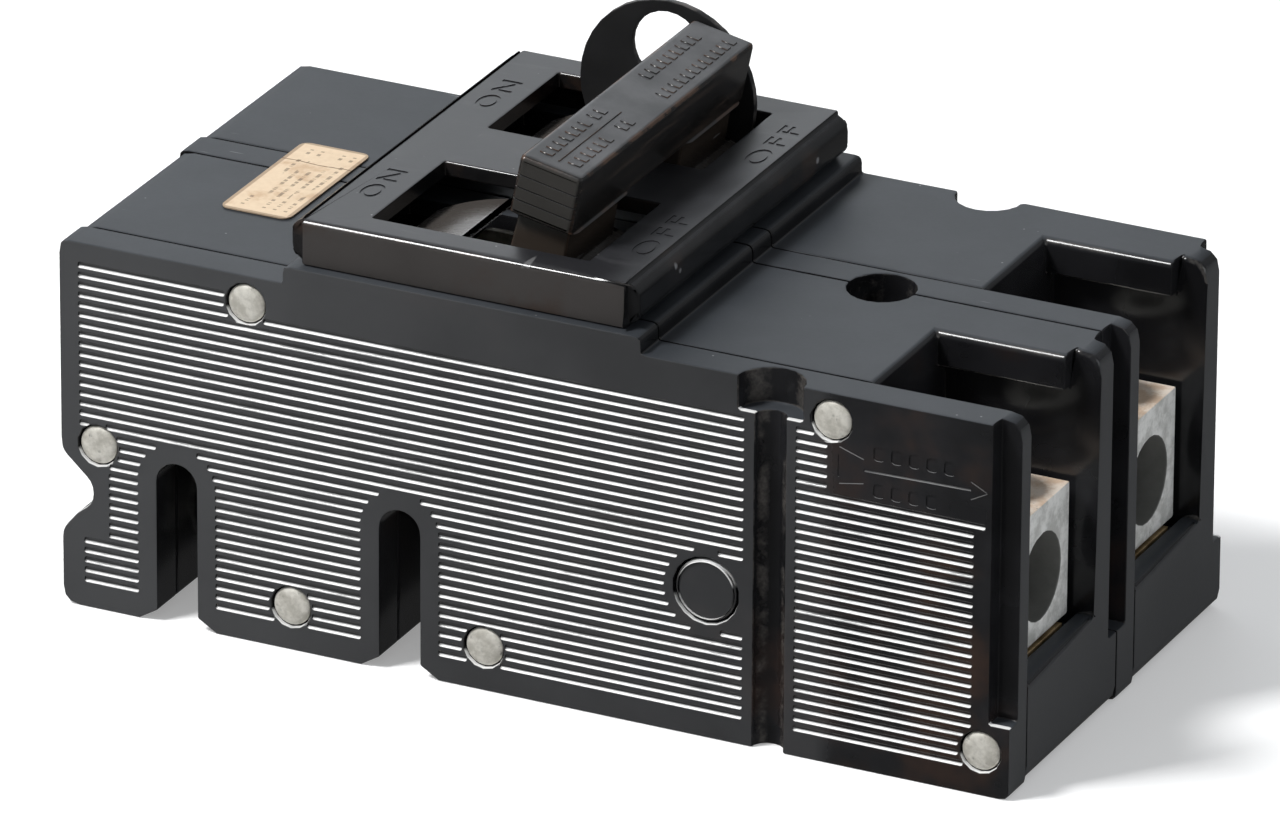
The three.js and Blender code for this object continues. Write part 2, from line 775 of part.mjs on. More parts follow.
function makePadlockPlate() {
  const near = barLength / 2 + touchGap;
  const far = near + plateThickness;
  const [x, z] = plateCentre;
  const disc = rod("y", plateRadius, plateCentre, near, far, 36);
  const trim = box([x - 20, x + 20], [near - 1, far + 1], [z - 20, plateBottom]);
  const hole = rod("y", plateHoleRadius, [x, z + plateHoleLift], near - 1, far + 1, 24);
  const under = escutcheonTop - escutcheonPlate - touchGap;
  const foot = box([x - 7, x + 7], [near, far + 3], [under - 1.6, under]);
  return joined(cut(disc, trim, hole), foot);
}

function makeLabel() {
  const [x, y] = labelStart;
  const bottom = caseHeight + 0.1;
  return box([x, x + labelSize[0]], [y, y + labelSize[1]], [bottom, bottom + labelThickness]);
}

// ---------- materials ----------
const look = (color, roughness, metalness) => new THREE.MeshStandardMaterial({ color, roughness, metalness });
const phenolic = look(0x2b2c30, 0.55, 0);
const handleBlack = look(0x1b1b1d, 0.4, 0);
const zinc = look(0xc9c8c2, 0.45, 1);
const steel = look(0x9a9b9c, 0.4, 1);
const copper = look(0xb46a45, 0.4, 1);
const silver = look(0xd8d8d6, 0.3, 1);
const tinned = look(0xd2cfc6, 0.5, 1);
const fibre = look(0x7a5a45, 0.8, 0);
const paper = look(0xe3dcc4, 0.85, 0);

// ---------- assembly ----------
const breaker = new THREE.Group();
breaker.position.set(0, 0, 0);

function place(parent, name, solid, material) {
  const mesh = new THREE.Mesh(toGeometry(solid), material);
  mesh.name = name;
  parent.add(mesh);
  return mesh;
}

function group(parent, x, z, angle) {
  const made = new THREE.Group();
  made.position.set(x, 0, z);
  made.rotation.y = turn(angle);
  parent.add(made);
  return made;
}

// The angle about +Y that turns a piece lying along -Z so that it points from a to b.
const pointing = (a, b) => THREE.MathUtils.radToDeg(Math.atan2(-(b[0] - a[0]), -(b[1] - a[1])));

function turned([x, z], degrees) {
  const angle = turn(degrees);
  return [x * Math.cos(angle) + z * Math.sin(angle), -x * Math.sin(angle) + z * Math.cos(angle)];
}

// Where two links from a and b meet, on the side of larger x.
function knee(a, b, fromA, fromB) {
  const dx = b[0] - a[0];
  const dz = b[1] - a[1];
  const span = Math.hypot(dx, dz);
  const along = (fromA * fromA - fromB * fromB + span * span) / (2 * span);
  const aside = Math.sqrt(fromA * fromA - along * along);
  return [a[0] + (dx * along - dz * aside) / span, a[1] + (dz * along + dx * aside) / span];
}

function addPole(letter, yOffset, stabSlot) {
  const pole = new THREE.Group();
  pole.position.set(-caseLength / 2, yOffset, 0);
  breaker.add(pole);
  const add = (name, solid, material, parent = pole) => place(parent, name + "_" + letter, solid, material);

  add("side_cover", makeSideCover(letter === "b"), phenolic);
  add("base_housing", makeBaseHousing(stabSlot), phenolic);

  add("stab_jaw", makeStabJaw(stabSlot), tinned);
  add("line_strap", makeLineStrap(stabSlot), copper);
  add("fixed_contact", makeContactPad(fixedContactTop - contactThickness), silver);
  add("arc_chute", makeArcChute(), fibre);

  add("mechanism_frame", makeMechanismFrame(), steel);
  add("handle_pin", makePivotPin(), steel);
  add("cradle", makeCradle(), steel);

  const arm = group(pole, armPivot[0], armPivot[1], armOpenAngle);
  add("contact_arm", makeContactArm(), copper, arm);
  const pad = makeContactPad(fixedContactTop + touchGap);
  const padMesh = add("moving_contact", pad, silver, arm);
  padMesh.position.set(-armPivot[0], 0, -armPivot[1]);

  const drive = turned(armDrive, armOpenAngle);
  const drivePin = [armPivot[0] + drive[0], armPivot[1] + drive[1]];
  const kneePlace = knee(linkAnchor, drivePin, upperLinkLength, lowerLinkLength);
  const upper = group(pole, linkAnchor[0], linkAnchor[1], pointing(linkAnchor, kneePlace));
  add("upper_link", makeUpperLink(), steel, upper);
  const lower = group(pole, kneePlace[0], kneePlace[1], pointing(kneePlace, drivePin));
  add("lower_link", makeLowerLink(), steel, lower);

  const handle = group(pole, pivotX, pivotZ, handleOffAngle);
  add("handle_stem", makeHandleStem(), handleBlack, handle);
  add("handle_yoke", makeHandleYoke(), steel, handle);
  const hook = turned([0, stemBottomRadius - touchGap - yokeWeb], handleOffAngle);
  const hookPlace = [pivotX + hook[0], pivotZ + hook[1]];
  const springLength = Math.hypot(hookPlace[0] - kneePlace[0], hookPlace[1] - kneePlace[1]) - touchGap;
  const spring = group(pole, kneePlace[0], kneePlace[1], pointing(kneePlace, hookPlace) + 180);
  add("main_spring", makeMainSpring(springLength), steel, spring);

  const shield = group(pole, pivotX, pivotZ, handleOffAngle * shieldRatio);
  add("arc_shield", makeArcShield(), handleBlack, shield);

  add("bimetal", makeBimetal(), tinned);
  add("magnet_yoke", makeMagnetYoke(), steel);
  add("armature", makeArmature(), steel);
  add("flexible_braid", makeBraid(), copper);
  add("load_strap", makeLoadStrap(), copper);
  add("load_lug", makeLug(), tinned);
  add("lug_screw", makeLugScrew(), zinc);
}

addPole("a", -poleWidth, slotCentres[0]);
addPole("b", 0, slotCentres[1]);

const shared = new THREE.Group();
shared.position.set(-caseLength / 2, 0, 0);
breaker.add(shared);
place(shared, "escutcheon", makeEscutcheon(), phenolic);
place(shared, "padlock_plate", makePadlockPlate(), handleBlack);
place(shared, "trip_bar", makeTripBar(), fibre);
rivetPlaces.forEach((centre, i) => place(shared, "case_rivet_" + (i + 1), makeRivet(centre), zinc));

const nearPole = new THREE.Group();
nearPole.position.set(-caseLength / 2, -poleWidth, 0);
breaker.add(nearPole);
place(nearPole, "side_plug", makeSidePlug(), phenolic);
place(nearPole, "rating_label", makeLabel(), paper);

const tieBarGroup = group(shared, pivotX, pivotZ, handleOffAngle);
place(tieBarGroup, "handle_tie_bar", makeTieBar(), handleBlack);

export default breaker;
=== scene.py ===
# Two-pole moulded case circuit breaker, in metres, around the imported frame.
# X runs from the stab (line) end to the lug (load) end, Y across the poles, Z up to the handle.
import math

import bpy
from mathutils import Matrix, Vector


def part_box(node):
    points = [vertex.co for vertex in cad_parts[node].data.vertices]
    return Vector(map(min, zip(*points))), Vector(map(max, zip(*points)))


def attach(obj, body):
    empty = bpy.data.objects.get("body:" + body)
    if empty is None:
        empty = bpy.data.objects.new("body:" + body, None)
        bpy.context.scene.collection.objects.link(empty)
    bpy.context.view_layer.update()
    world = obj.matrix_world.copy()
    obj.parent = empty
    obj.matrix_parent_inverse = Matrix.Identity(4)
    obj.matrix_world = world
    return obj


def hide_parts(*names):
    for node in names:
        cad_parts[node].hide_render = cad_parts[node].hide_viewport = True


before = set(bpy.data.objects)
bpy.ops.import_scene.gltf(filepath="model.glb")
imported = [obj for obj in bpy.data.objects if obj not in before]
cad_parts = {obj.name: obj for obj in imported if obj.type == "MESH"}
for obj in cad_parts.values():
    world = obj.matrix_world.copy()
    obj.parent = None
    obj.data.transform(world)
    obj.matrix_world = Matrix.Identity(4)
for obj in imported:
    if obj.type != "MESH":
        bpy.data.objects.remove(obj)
bpy.ops.object.select_all(action="DESELECT")
bpy.context.view_layer.update()

# ---------- camera ----------
# A long lens from in front of the near long side, towards the lug end and well above the top.
view_turn = math.radians(25.748)
view_rise = math.radians(23.971)
view_roll = math.radians(0.3488)
view_target = Vector((-0.000461, 0, 0.030085))
view_distance = 2.1156
away = Vector((
    math.sin(view_turn) * math.cos(view_rise),
    -math.cos(view_turn) * math.cos(view_rise),
    math.sin(view_rise),
))
bpy.ops.object.camera_add(location=view_target + away * view_distance)
camera = bpy.context.object
camera.rotation_euler = (
    Matrix.Rotation(view_turn, 3, "Z")
    @ Matrix.Rotation(math.pi / 2 - view_rise, 3, "X")
    @ Matrix.Rotation(view_roll, 3, "Z")
).to_euler()
camera.data.sensor_width = 36
camera.data.lens = 401.08
camera.data.clip_end = 20
bpy.context.scene.camera = camera

# ---------- shader maths ----------
# One class for every material below: arithmetic on a wire adds the nodes for it.
class Wire:
    """One output of a shader tree."""

    def __init__(self, tree, socket=None):
        self.tree = tree
        self.socket = socket

    def node(self, kind, settings=(), sockets=(), output=0):
        """Adds a node: first its settings, then the values or wires of its sockets."""
        made = self.tree.nodes.new(kind)
        for name, value in dict(settings).items():
            if name == "stops":
                ramp = made.color_ramp
                while len(ramp.elements) < len(value):
                    ramp.elements.new(1)
                for stop, (position, colour) in zip(ramp.elements, value):
                    stop.position = position
                    stop.color = colour
            else:
                setattr(made, name, value)
        for name, value in dict(sockets).items():
            if isinstance(value, Wire):
                self.tree.links.new(value.socket, made.inputs[name])
            else:
                made.inputs[name].default_value = value
        return Wire(self.tree, made.outputs[output])

    def maths(self, operation, *values):
        return self.node("ShaderNodeMath", {"operation": operation}, enumerate(values))

    def __add__(self, other):
        return self.maths("ADD", self, other)

    def __sub__(self, other):
        return self.maths("SUBTRACT", self, other)

    def __rsub__(self, other):
        return self.maths("SUBTRACT", other, self)

    def __mul__(self, other):
        return self.maths("MULTIPLY", self, other)

    __radd__ = __add__
    __rmul__ = __mul__

    def size(self):
        return self.maths("ABSOLUTE", self)


def parts_of(vector):
    """The X, Y and Z of a vector, as three wires."""
    return [vector.node("ShaderNodeSeparateXYZ", (), {0: vector}, axis) for axis in range(3)]


def rise(value, low, high):
    """0 below low, 1 above high and smooth between; high may be the smaller one."""
    if low > high:
        return 1 - rise(value, high, low)
    return value.node(
        "ShaderNodeMapRange", {"interpolation_type": "SMOOTHSTEP"},
        {"Value": value, "From Min": low, "From Max": high},
    )


def tint(mask, first, second):
    """A colour from first, where mask is 0, to second, where it is 1."""
    return mask.node("ShaderNodeMix", {"data_type": "RGBA"}, {0: mask, 6: first, 7: second}, 2)


def stretched(place, along_x, along_y, along_z):
    """The place with a factor on each axis."""
    return place.node(
        "ShaderNodeVectorMath", {"operation": "MULTIPLY"},
        {0: place, 1: (along_x, along_y, along_z)},
    )


def mottle(place, scale, detail=3.0, harshness=0.55):
    """Cloudy noise from about 0.3 to 0.7, with that many clouds to a metre."""
    return place.node(
        "ShaderNodeTexNoise", (),
        {"Vector": place, "Scale": scale, "Detail": detail, "Roughness": harshness},
    )


def cells(place, scale, feature="F1"):
    """The distance to the nearest of many scattered points."""
    return place.node(
        "ShaderNodeTexVoronoi", {"feature": feature}, {"Vector": place, "Scale": scale}
    )


def bumps(height, depth, strength=1.0):
    """A surface that rises and falls by depth metres with height."""
    return height.node(
        "ShaderNodeBump", (), {"Height": height, "Distance": depth, "Strength": strength}
    )


def new_finish(name):
    """A material with its shader, the place of each point and the way it faces."""
    material = bpy.data.materials.new(name)
    material.use_nodes = True
    tree = material.node_tree
    place = Wire(tree).node("ShaderNodeTexCoord", output="Object")
    facing = Wire(tree).node("ShaderNodeTexCoord", output="Normal")
    return material, tree.nodes["Principled BSDF"], place, facing


def apply_finish(shader, sockets):
    """Links or sets the shader's own sockets."""
    for name, value in sockets.items():
        if isinstance(value, Wire):
            value.tree.links.new(value.socket, shader.inputs[name])
        else:
            shader.inputs[name].default_value = value


# ---------- ground and light ----------
# A wide pale table with a matt top. One strong soft lamp high at the left gives the edges their
# lines, a dim one low behind gives the tops their sheen, and a pale room fills the rest.
bpy.ops.mesh.primitive_plane_add(size=14, location=(0, 0, 0))
ground = bpy.context.object
ground.name = "ground"
bpy.ops.object.mode_set(mode="EDIT")
bpy.ops.mesh.subdivide(number_cuts=3)
bpy.ops.object.mode_set(mode="OBJECT")
ground_finish, shader, place, facing = new_finish("ground")
apply_finish(shader, {
    "Base Color": tint(mottle(place, 3), (0.76, 0.76, 0.76, 1), (0.78, 0.78, 0.78, 1)),
    "Roughness": 0.9,
    "Specular IOR Level": 0.0,
    "Emission Color": (1, 1, 1, 1),
    "Emission Strength": 0.3,
})
ground.data.materials.append(ground_finish)
ground.visible_glossy = False


def add_lamp(name, direction, distance, width, height, power, colour):
    """A rectangular soft lamp that looks at the middle of the breaker."""
    way = Vector(direction).normalized()
    bpy.ops.object.light_add(type="AREA", location=view_target + way * distance)
    lamp = bpy.context.object
    lamp.name = name
    lamp.rotation_euler = way.to_track_quat("Z", "Y").to_euler()
    lamp.data.shape = "RECTANGLE"
    lamp.data.size = width
    lamp.data.size_y = height
    lamp.data.energy = power
    lamp.data.color = colour
    return lamp


add_lamp("high_left_lamp", (-0.397, -0.406, 0.823), 1.5, 0.34, 0.34, 25, (1, 1, 1))
add_lamp("back_lamp", (-0.55, 0.75, 0.42), 2.2, 1.6, 0.7, 9, (0.92, 0.96, 1))
add_lamp("right_lamp", (0.95, -0.05, 0.35), 2.2, 0.9, 0.9, 7, (0.92, 0.96, 1))

room = bpy.data.worlds.new("room")
room.use_nodes = True
bpy.context.scene.world = room
sky = Wire(room.node_tree).node("ShaderNodeTexCoord", output="Generated")
height = parts_of(sky)[2]
shade = height.node(
    "ShaderNodeValToRGB",
    {"stops": [(0.0, (0.10, 0.10, 0.10, 1)), (0.45, (0.12, 0.12, 0.12, 1)),
               (0.6, (0.24, 0.25, 0.26, 1)), (1.0, (0.36, 0.37, 0.38, 1))]},
    {"Fac": height * 0.5 + 0.5},
)
room.node_tree.links.new(shade.socket, room.node_tree.nodes["Background"].inputs["Color"])
bpy.context.scene.view_settings.view_transform = "Standard"

# ---------- case moulding ----------
# Black phenolic, pressed in a steel mould: near-black and slightly uneven, a painted grey sheen on
# faces that look up, painted light on the side and end walls, brown burnt patches, pale wear with
# painted highlights on the outer edges, painted highlights on the rib slopes, and a few white scuffs.
side_depth = 0.0372  # the ribs lie outside this distance from the middle plane
rib_top = 0.0565
gauge_start = 0.046  # past here the near and far walls are still glossy

case_finish, shader, place, facing = new_finish("case_moulding")
x, y, z = parts_of(place)
face_x, face_y, face_z = parts_of(facing)
clouds = mottle(place, 60, 4)
fine = mottle(place, 1400, 4, 0.6)
black = tint(rise(clouds, 0.4, 0.65), (0.0065, 0.0065, 0.0072, 1), (0.013, 0.013, 0.0145, 1))
burnt = rise(mottle(place, 30, 5, 0.6), 0.56, 0.72) * rise(face_z, 0.9, 0.2)
black = tint(burnt * 0.7, black, (0.028, 0.014, 0.009, 1))
up = rise(face_z, 0.75, 0.97)
# Painted light: the side and end walls are painted a lighter grey, strongest towards the stab end and much
# fainter past the gauge start, where the walls stay glossy; the same mask makes them rougher.
sides = rise(face_y.size(), 0.8, 0.97) * rise(y.size(), side_depth, side_depth + 0.0001)
ends = rise(face_x.size(), 0.8, 0.97) * rise(x.size(), 0.0755, 0.0765)
polished = rise(x, gauge_start, gauge_start + 0.004)
satin_and_painted_light = sides * (0.55 + rise(x, 0.04, -0.08) * 0.45) * (1 - polished * 0.85) + ends
black = tint(satin_and_painted_light * (0.75 + clouds * 0.5), black, (0.047, 0.048, 0.050, 1))
brown = rise(mottle(place, 42, 4, 0.6), 0.48, 0.66) * sides * rise(x, 0.044, 0.05)
black = tint(brown * 0.8, black, (0.034, 0.019, 0.013, 1))
# Painted sheen: faces that look up are painted a mottled bluish grey.
black = tint(up, black, tint(rise(clouds, 0.35, 0.7), (0.025, 0.0285, 0.0335, 1), (0.038, 0.042, 0.048, 1)))
# Pale wear along the outer edges, which also serves as a painted highlight there: the edges between the side
# walls and the top or the ends are painted pale.
corner = (face_y.size() * (face_x.size() + face_z.size())) * 1.6
edge = rise(corner * (0.6 + fine * 0.8), 0.5, 1.0) * rise(mottle(place, 160, 4, 0.7), 0.42, 0.6)
black = tint(edge * 0.55, black, (0.12, 0.11, 0.10, 1))
scratches = rise(mottle(stretched(place, 90, 900, 900), 1, 2), 0.7, 0.74)
scratches = scratches * rise(mottle(place, 45), 0.5, 0.62)
specks = rise(cells(place, 330), 0.075, 0.03) * rise(mottle(place, 70), 0.55, 0.65)
black = tint((scratches * 0.25 + specks * 0.5) * up, black, (0.42, 0.42, 0.42, 1))
# Painted highlight: the slopes of the rib grooves that look up are painted near white, patchy along their
# length and fainter over the gauge.
ribs = (rise(face_z, 0.22, 0.42) * rise(y.size(), side_depth, side_depth + 0.0001)
        * rise(z, rib_top + 0.0002, rib_top))
rib_highlight_patches = rise(mottle(stretched(place, 60, 200, 400), 1, 4, 0.65), 0.28, 0.5)
rib_highlight_patches = rib_highlight_patches * (0.8 + rise(x, -0.07, 0) * 0.2)
gauge = rise(x, 0.0494, 0.0496) * rise(z, 0.0426, 0.0428)
ribs = ribs * (1 - gauge * 0.75)
black = tint(ribs * (0.3 + rib_highlight_patches * 0.7), black, (0.72, 0.72, 0.71, 1))
apply_finish(shader, {
    "Base Color": black,
    "Roughness": 0.10 + (up + satin_and_painted_light) * 0.34 + clouds * 0.14 + fine * 0.05,
    "Specular IOR Level": 0.34,
    "Normal": bumps(fine * 0.6 + mottle(place, 420, 2) * 0.6 + scratches * -0.8, 0.00002, 0.5),
})


def pick(piece):
    """Makes one piece the only one selected."""
    bpy.ops.object.select_all(action="DESELECT")
    piece.select_set(True)
    bpy.context.view_layer.objects.active = piece


def copy_of(node, name, has_windows=False):
    """A copy of a frame solid to work on, its corners joined and its flat faces whole.

    A face with windows in it stays in triangles, because as one face it would close over them."""
    piece = bpy.data.objects.new(name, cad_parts[node].data.copy())
    bpy.context.scene.collection.objects.link(piece)
    pick(piece)
    bpy.ops.mesh.customdata_custom_splitnormals_clear()
    bpy.ops.object.mode_set(mode="EDIT")
    bpy.ops.mesh.select_all(action="SELECT")
    bpy.ops.mesh.remove_doubles(threshold=0.000002)
    bpy.ops.mesh.dissolve_limited(angle_limit=math.radians(1))
    if has_windows:
        bpy.ops.mesh.quads_convert_to_tris(ngon_method="BEAUTY")
    bpy.ops.object.mode_set(mode="OBJECT")
    piece.data.materials.clear()
    return piece


def soften(piece, width, segments=2, angle=38):
    """Rounds every edge sharper than the angle."""
    pick(piece)
    edges = piece.modifiers.new("soft_edges", "BEVEL")
    edges.width = width
    edges.segments = segments
    edges.limit_method = "ANGLE"
    edges.angle_limit = math.radians(angle)
    edges.use_clamp_overlap = False
    edges.miter_outer = "MITER_ARC"
    bpy.ops.object.modifier_apply(modifier=edges.name)


def carve(piece, tool, operation="DIFFERENCE"):
    """Takes a tool out of a piece, and the tool away."""
    pick(piece)
    cutter = piece.modifiers.new("carve", "BOOLEAN")
    cutter.operation = operation
    cutter.solver = "MANIFOLD"
    cutter.object = tool
    bpy.ops.object.modifier_apply(modifier=cutter.name)
    bpy.data.objects.remove(tool)


def smooth(piece, angle=40):
    """Shades a piece smooth up to an angle, with its large faces kept flat."""
    pick(piece)
    bpy.ops.object.shade_smooth_by_angle(angle=math.radians(angle))
    level = piece.modifiers.new("level_faces", "WEIGHTED_NORMAL")
    level.keep_sharp = True
    level.weight = 100
    bpy.ops.object.modifier_apply(modifier=level.name)


def settle(piece, finish, slot, body, *nodes):
    """Gives a piece its finish, hangs it under its body and hides the frame nodes it stands for."""
    piece.data.materials.clear()
    piece.data.materials.append(finish)
    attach(piece, body)
    if nodes:
        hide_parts(*nodes)


def join(pieces, name):
    """Several pieces as one."""
    pick(pieces[0])
    for piece in pieces[1:]:
        piece.select_set(True)
    if len(pieces) > 1:
        bpy.ops.object.join()
    bpy.context.object.name = name
    return bpy.context.object


def pick_edges(piece, wanted):
    """Opens a piece for editing, with the edges selected whose two ends satisfy wanted."""
    pick(piece)
    bpy.context.tool_settings.mesh_select_mode = (False, True, False)
    bpy.ops.object.mode_set(mode="EDIT")
    bpy.ops.mesh.select_all(action="DESELECT")
    bpy.ops.object.mode_set(mode="OBJECT")
    points = piece.data.vertices
    for edge in piece.data.edges:
        edge.select = bool(wanted(*(points[i].co for i in edge.vertices)))
    bpy.ops.object.mode_set(mode="EDIT")


def pick_faces(piece, wanted):
    """Opens a piece for editing, with the faces selected whose centre and normal satisfy wanted."""
    pick(piece)
    bpy.context.tool_settings.mesh_select_mode = (False, False, True)
    bpy.ops.object.mode_set(mode="EDIT")
    bpy.ops.mesh.select_all(action="DESELECT")
    bpy.ops.object.mode_set(mode="OBJECT")
    for face in piece.data.polygons:
        face.select = bool(wanted(face.center, face.normal))
    bpy.ops.object.mode_set(mode="EDIT")


def copied(piece, move=(0, 0, 0), name=None):
    """A copy with its own mesh, moved in its mesh."""
    twin = bpy.data.objects.new(name or piece.name, piece.data.copy())
    bpy.context.scene.collection.objects.link(twin)
    twin.data.transform(Matrix.Translation(move))
    return twin


# ---------- side covers ----------
# The near and far walls of the case. Fine moulded ribs run along them, with plain borders round
# the stab slots, the rivet heads and the plug, and a plain strip gauge at the lug end.
cover_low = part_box("side_cover_a")[0]
stab_end = cover_low.x
near_face = cover_low.y
far_face = -near_face
rib_pitch = 0.0015875
rib_rows = 33
rib_first = 0.05543
rib_radius = 0.00053
rib_depth = 0.00042
slot_centres = (0.01925, 0.0562)
slot_border = 0.0064
slot_arch_z = 0.023
rivet_centres = [(0.03095, 0.0544), (0.0061, 0.0267), (0.0382, 0.007), (0.07, 0.007),
                 (0.126, 0.0546), (0.1503, 0.007)]
rivet_border = 0.0036
plug_centre = (0.1061, 0.0236)
plug_border = 0.0067

# One groove: a rod along X, a millimetre long, with rounded ends. Copies are drawn out to length.
bpy.ops.mesh.primitive_cylinder_add(
    vertices=12, radius=rib_radius, depth=0.002, rotation=(0, math.pi / 2, 0))
groove = bpy.context.object
bpy.ops.object.transform_apply(location=True, rotation=True, scale=True)
pick_edges(groove, lambda a, b: abs(a.x - b.x) < 0.0001)
bpy.ops.mesh.bevel(offset=0.00034, segments=2, affect="EDGES")
bpy.ops.object.mode_set(mode="OBJECT")


def groove_runs(z):
    """The stretches of one row that are ribbed, from the stab end, as (start, end) pairs."""
    blocked = []
    for centre in slot_centres:
        above = z - slot_arch_z
        if above < slot_border:
            half = math.sqrt(slot_border ** 2 - max(above, 0) ** 2)
            blocked.append((centre - half, centre + half))
    rounds = [(*centre, rivet_border) for centre in rivet_centres]
    for across, up, radius in [*rounds, (*plug_centre, plug_border)]:
        if abs(z - up) < radius:
            half = math.sqrt(radius ** 2 - (z - up) ** 2)
            blocked.append((across - half, across + half))
    row = round((rib_first - z) / rib_pitch) + 1
    left = 0.0031
    if 0.0125 < z < 0.0255:
        left = 0.0079
    elif row > rib_rows - 5:
        left = 0.0037
    left_end = 0.028 if row <= 2 else 0.1121
    runs = [(left, left_end)]
    if row >= 3:
        runs.append((0.1203, 0.1254 if row <= 8 else 0.1506 if row == 9 else 0.1488))
    for low, high in blocked:
        kept = []
        for start, end in runs:
            if low > start:
                kept.append((start, min(end, low)))
            if high < end:
                kept.append((max(start, high), end))
        runs = kept
    return [(start, end) for start, end in runs if end - start > 0.0016]


def groove_set(face, outward):
    """All grooves of one wall, as one tool; outward is the way the wall looks along Y."""
    rods = []
    centre_y = face + outward * (rib_radius - rib_depth)
    for row in range(rib_rows):
        z = rib_first - row * rib_pitch
        for start, end in groove_runs(z):
            rod = copied(groove)
            for vertex in rod.data.vertices:
                side = stab_end + (start + 0.001 if vertex.co.x < 0 else end - 0.001)
                vertex.co += Vector((side, centre_y, z))
            rods.append(rod)
    return join(rods, "groove_set")


near_cover = copy_of("side_cover_a", "near_side_cover")
soften(near_cover, 0.00035)
carve(near_cover, groove_set(near_face, -1))

# The strip gauge: a fine line as long as the bare end of the cable should be, with an arrowhead
# at each end and rows of sunk blocks where its name would stand.
gauge_line = 0.0479


def add_line(start, end, line_radius):
    """A thin rod between two places on the near face, given from the stab end and the bottom."""
    along = Vector((end[0] - start[0], 0, end[1] - start[1]))
    middle = Vector((stab_end + (start[0] + end[0]) / 2, near_face, (start[1] + end[1]) / 2))
    bpy.ops.mesh.primitive_cylinder_add(vertices=8, radius=line_radius, depth=along.length, location=middle)
    rod = bpy.context.object
    rod.rotation_euler = along.to_track_quat("Z", "Y").to_euler()
    bpy.ops.object.transform_apply(location=True, rotation=True, scale=True)
    return rod


for start, end, radius in (
    ((0.1313, gauge_line), (0.1482, gauge_line + 0.0003), 0.0002),
    ((0.1482, gauge_line + 0.0016), (0.1508, gauge_line + 0.0003), 0.0001),
    ((0.1508, gauge_line + 0.0002), (0.1482, gauge_line - 0.0012), 0.0001),
    ((0.1273, 0.0509), (0.1312, 0.0496), 0.0001),
    ((0.1273, 0.0451), (0.1312, 0.0458), 0.0001),
    ((0.1272, 0.0496), (0.1272, 0.0461), 0.0001),
):
    carve(near_cover, add_line(start, end, radius))
for row_z, row_start, count in ((0.0508, 0.1336, 5), (0.045, 0.1336, 4)):
    for number in range(count):
        middle = (stab_end + row_start + number * 0.0028, near_face, row_z)
        bpy.ops.mesh.primitive_cube_add(size=1, location=middle, scale=(0.0017, 0.0003, 0.0022))
        stroke = bpy.context.object
        bpy.ops.object.transform_apply(location=True, rotation=True, scale=True)
        pick_edges(stroke, lambda a, b: abs(a.y - b.y) > 0.0002)
        bpy.ops.mesh.bevel(offset=0.0005, segments=2, affect="EDGES")
        bpy.ops.object.mode_set(mode="OBJECT")
        carve(near_cover, stroke)
smooth(near_cover)
settle(near_cover, case_finish, "case_moulding", "case", "side_cover_a")

middle_cover = copy_of("side_cover_b", "middle_side_cover")
soften(middle_cover, 0.00035)
smooth(middle_cover)
settle(middle_cover, case_finish, "case_moulding", "case", "side_cover_b")

# ---------- base housings ----------
# Each pole's deep box with the open wells for the load lugs. The far wall of the far pole
# carries the same ribs as the near cover.
well_start = stab_end + 0.1302
lip_end = stab_end + 0.1506
load_end = -stab_end
case_top = 0.059
well_floor = 0.0172
near_line = 0.00002  # how close an edge's ends lie to the line it is picked by


def close(value, wanted):
    return abs(value - wanted) < near_line


for letter, pole_side in (("a", -0.0381), ("b", 0)):
    housing = copy_of("base_housing_" + letter, "base_housing_" + letter + "_shell")
    lip_side = pole_side + 0.0273
    wall_side = pole_side + 0.0301

    # The mouth of the well is well rounded: the end wall's inner edge, the lip and the floor.
    pick_edges(housing, lambda a, b: (
        close(a.y, wall_side) and close(b.y, wall_side)
        and min(a.x, b.x) > lip_end - near_line and min(a.z, b.z) > well_floor - near_line
        and (min(a.x, b.x) > lip_end + near_line or max(a.z, b.z) > case_top - near_line)
    ))
    bpy.ops.mesh.bevel(offset=0.0011, segments=4, affect="EDGES", clamp_overlap=True)
    bpy.ops.object.mode_set(mode="OBJECT")
    pick_edges(housing, lambda a, b: (
        (close(a.z, case_top) and close(b.z, case_top) and max(a.x, b.x) < lip_end + near_line
         and ((close(a.y, lip_side) and close(b.y, lip_side) and min(a.x, b.x) > well_start - near_line)
              or (close(a.x, well_start) and close(b.x, well_start)
                  and max(a.y, b.y) < lip_side + near_line)))
    ))
    bpy.ops.mesh.bevel(offset=0.0012, segments=4, affect="EDGES", clamp_overlap=True)
    bpy.ops.object.mode_set(mode="OBJECT")
    pick_edges(housing, lambda a, b: (
        close(a.x, load_end) and close(b.x, load_end)
        and close(a.z, well_floor) and close(b.z, well_floor)
    ))
    bpy.ops.mesh.bevel(offset=0.0018, segments=4, affect="EDGES", clamp_overlap=True)
    bpy.ops.object.mode_set(mode="OBJECT")
    soften(housing, 0.0004)
    if letter == "b":
        carve(housing, groove_set(far_face, 1))
    smooth(housing)
    settle(housing, case_finish, "case_moulding", "case", "base_housing_" + letter)
bpy.data.objects.remove(groove)

# ---------- escutcheon ----------
# The raised frame round both handle windows, one moulding with a rounded bead along each end.
# ON and OFF stand sunk in its top, once for each pole, and its window edges are rubbed brown.
escutcheon_low, escutcheon_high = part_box("escutcheon")

top_finish, shader, place, facing = new_finish("escutcheon_moulding")
y = parts_of(place)[1]
face_x, face_y, face_z = parts_of(facing)
clouds = mottle(place, 75, 5, 0.6)
fine = mottle(place, 1500, 4, 0.6)
up = rise(face_z, 0.8, 0.98)
black = tint(rise(clouds, 0.4, 0.65), (0.006, 0.006, 0.0065, 1), (0.012, 0.0115, 0.012, 1))
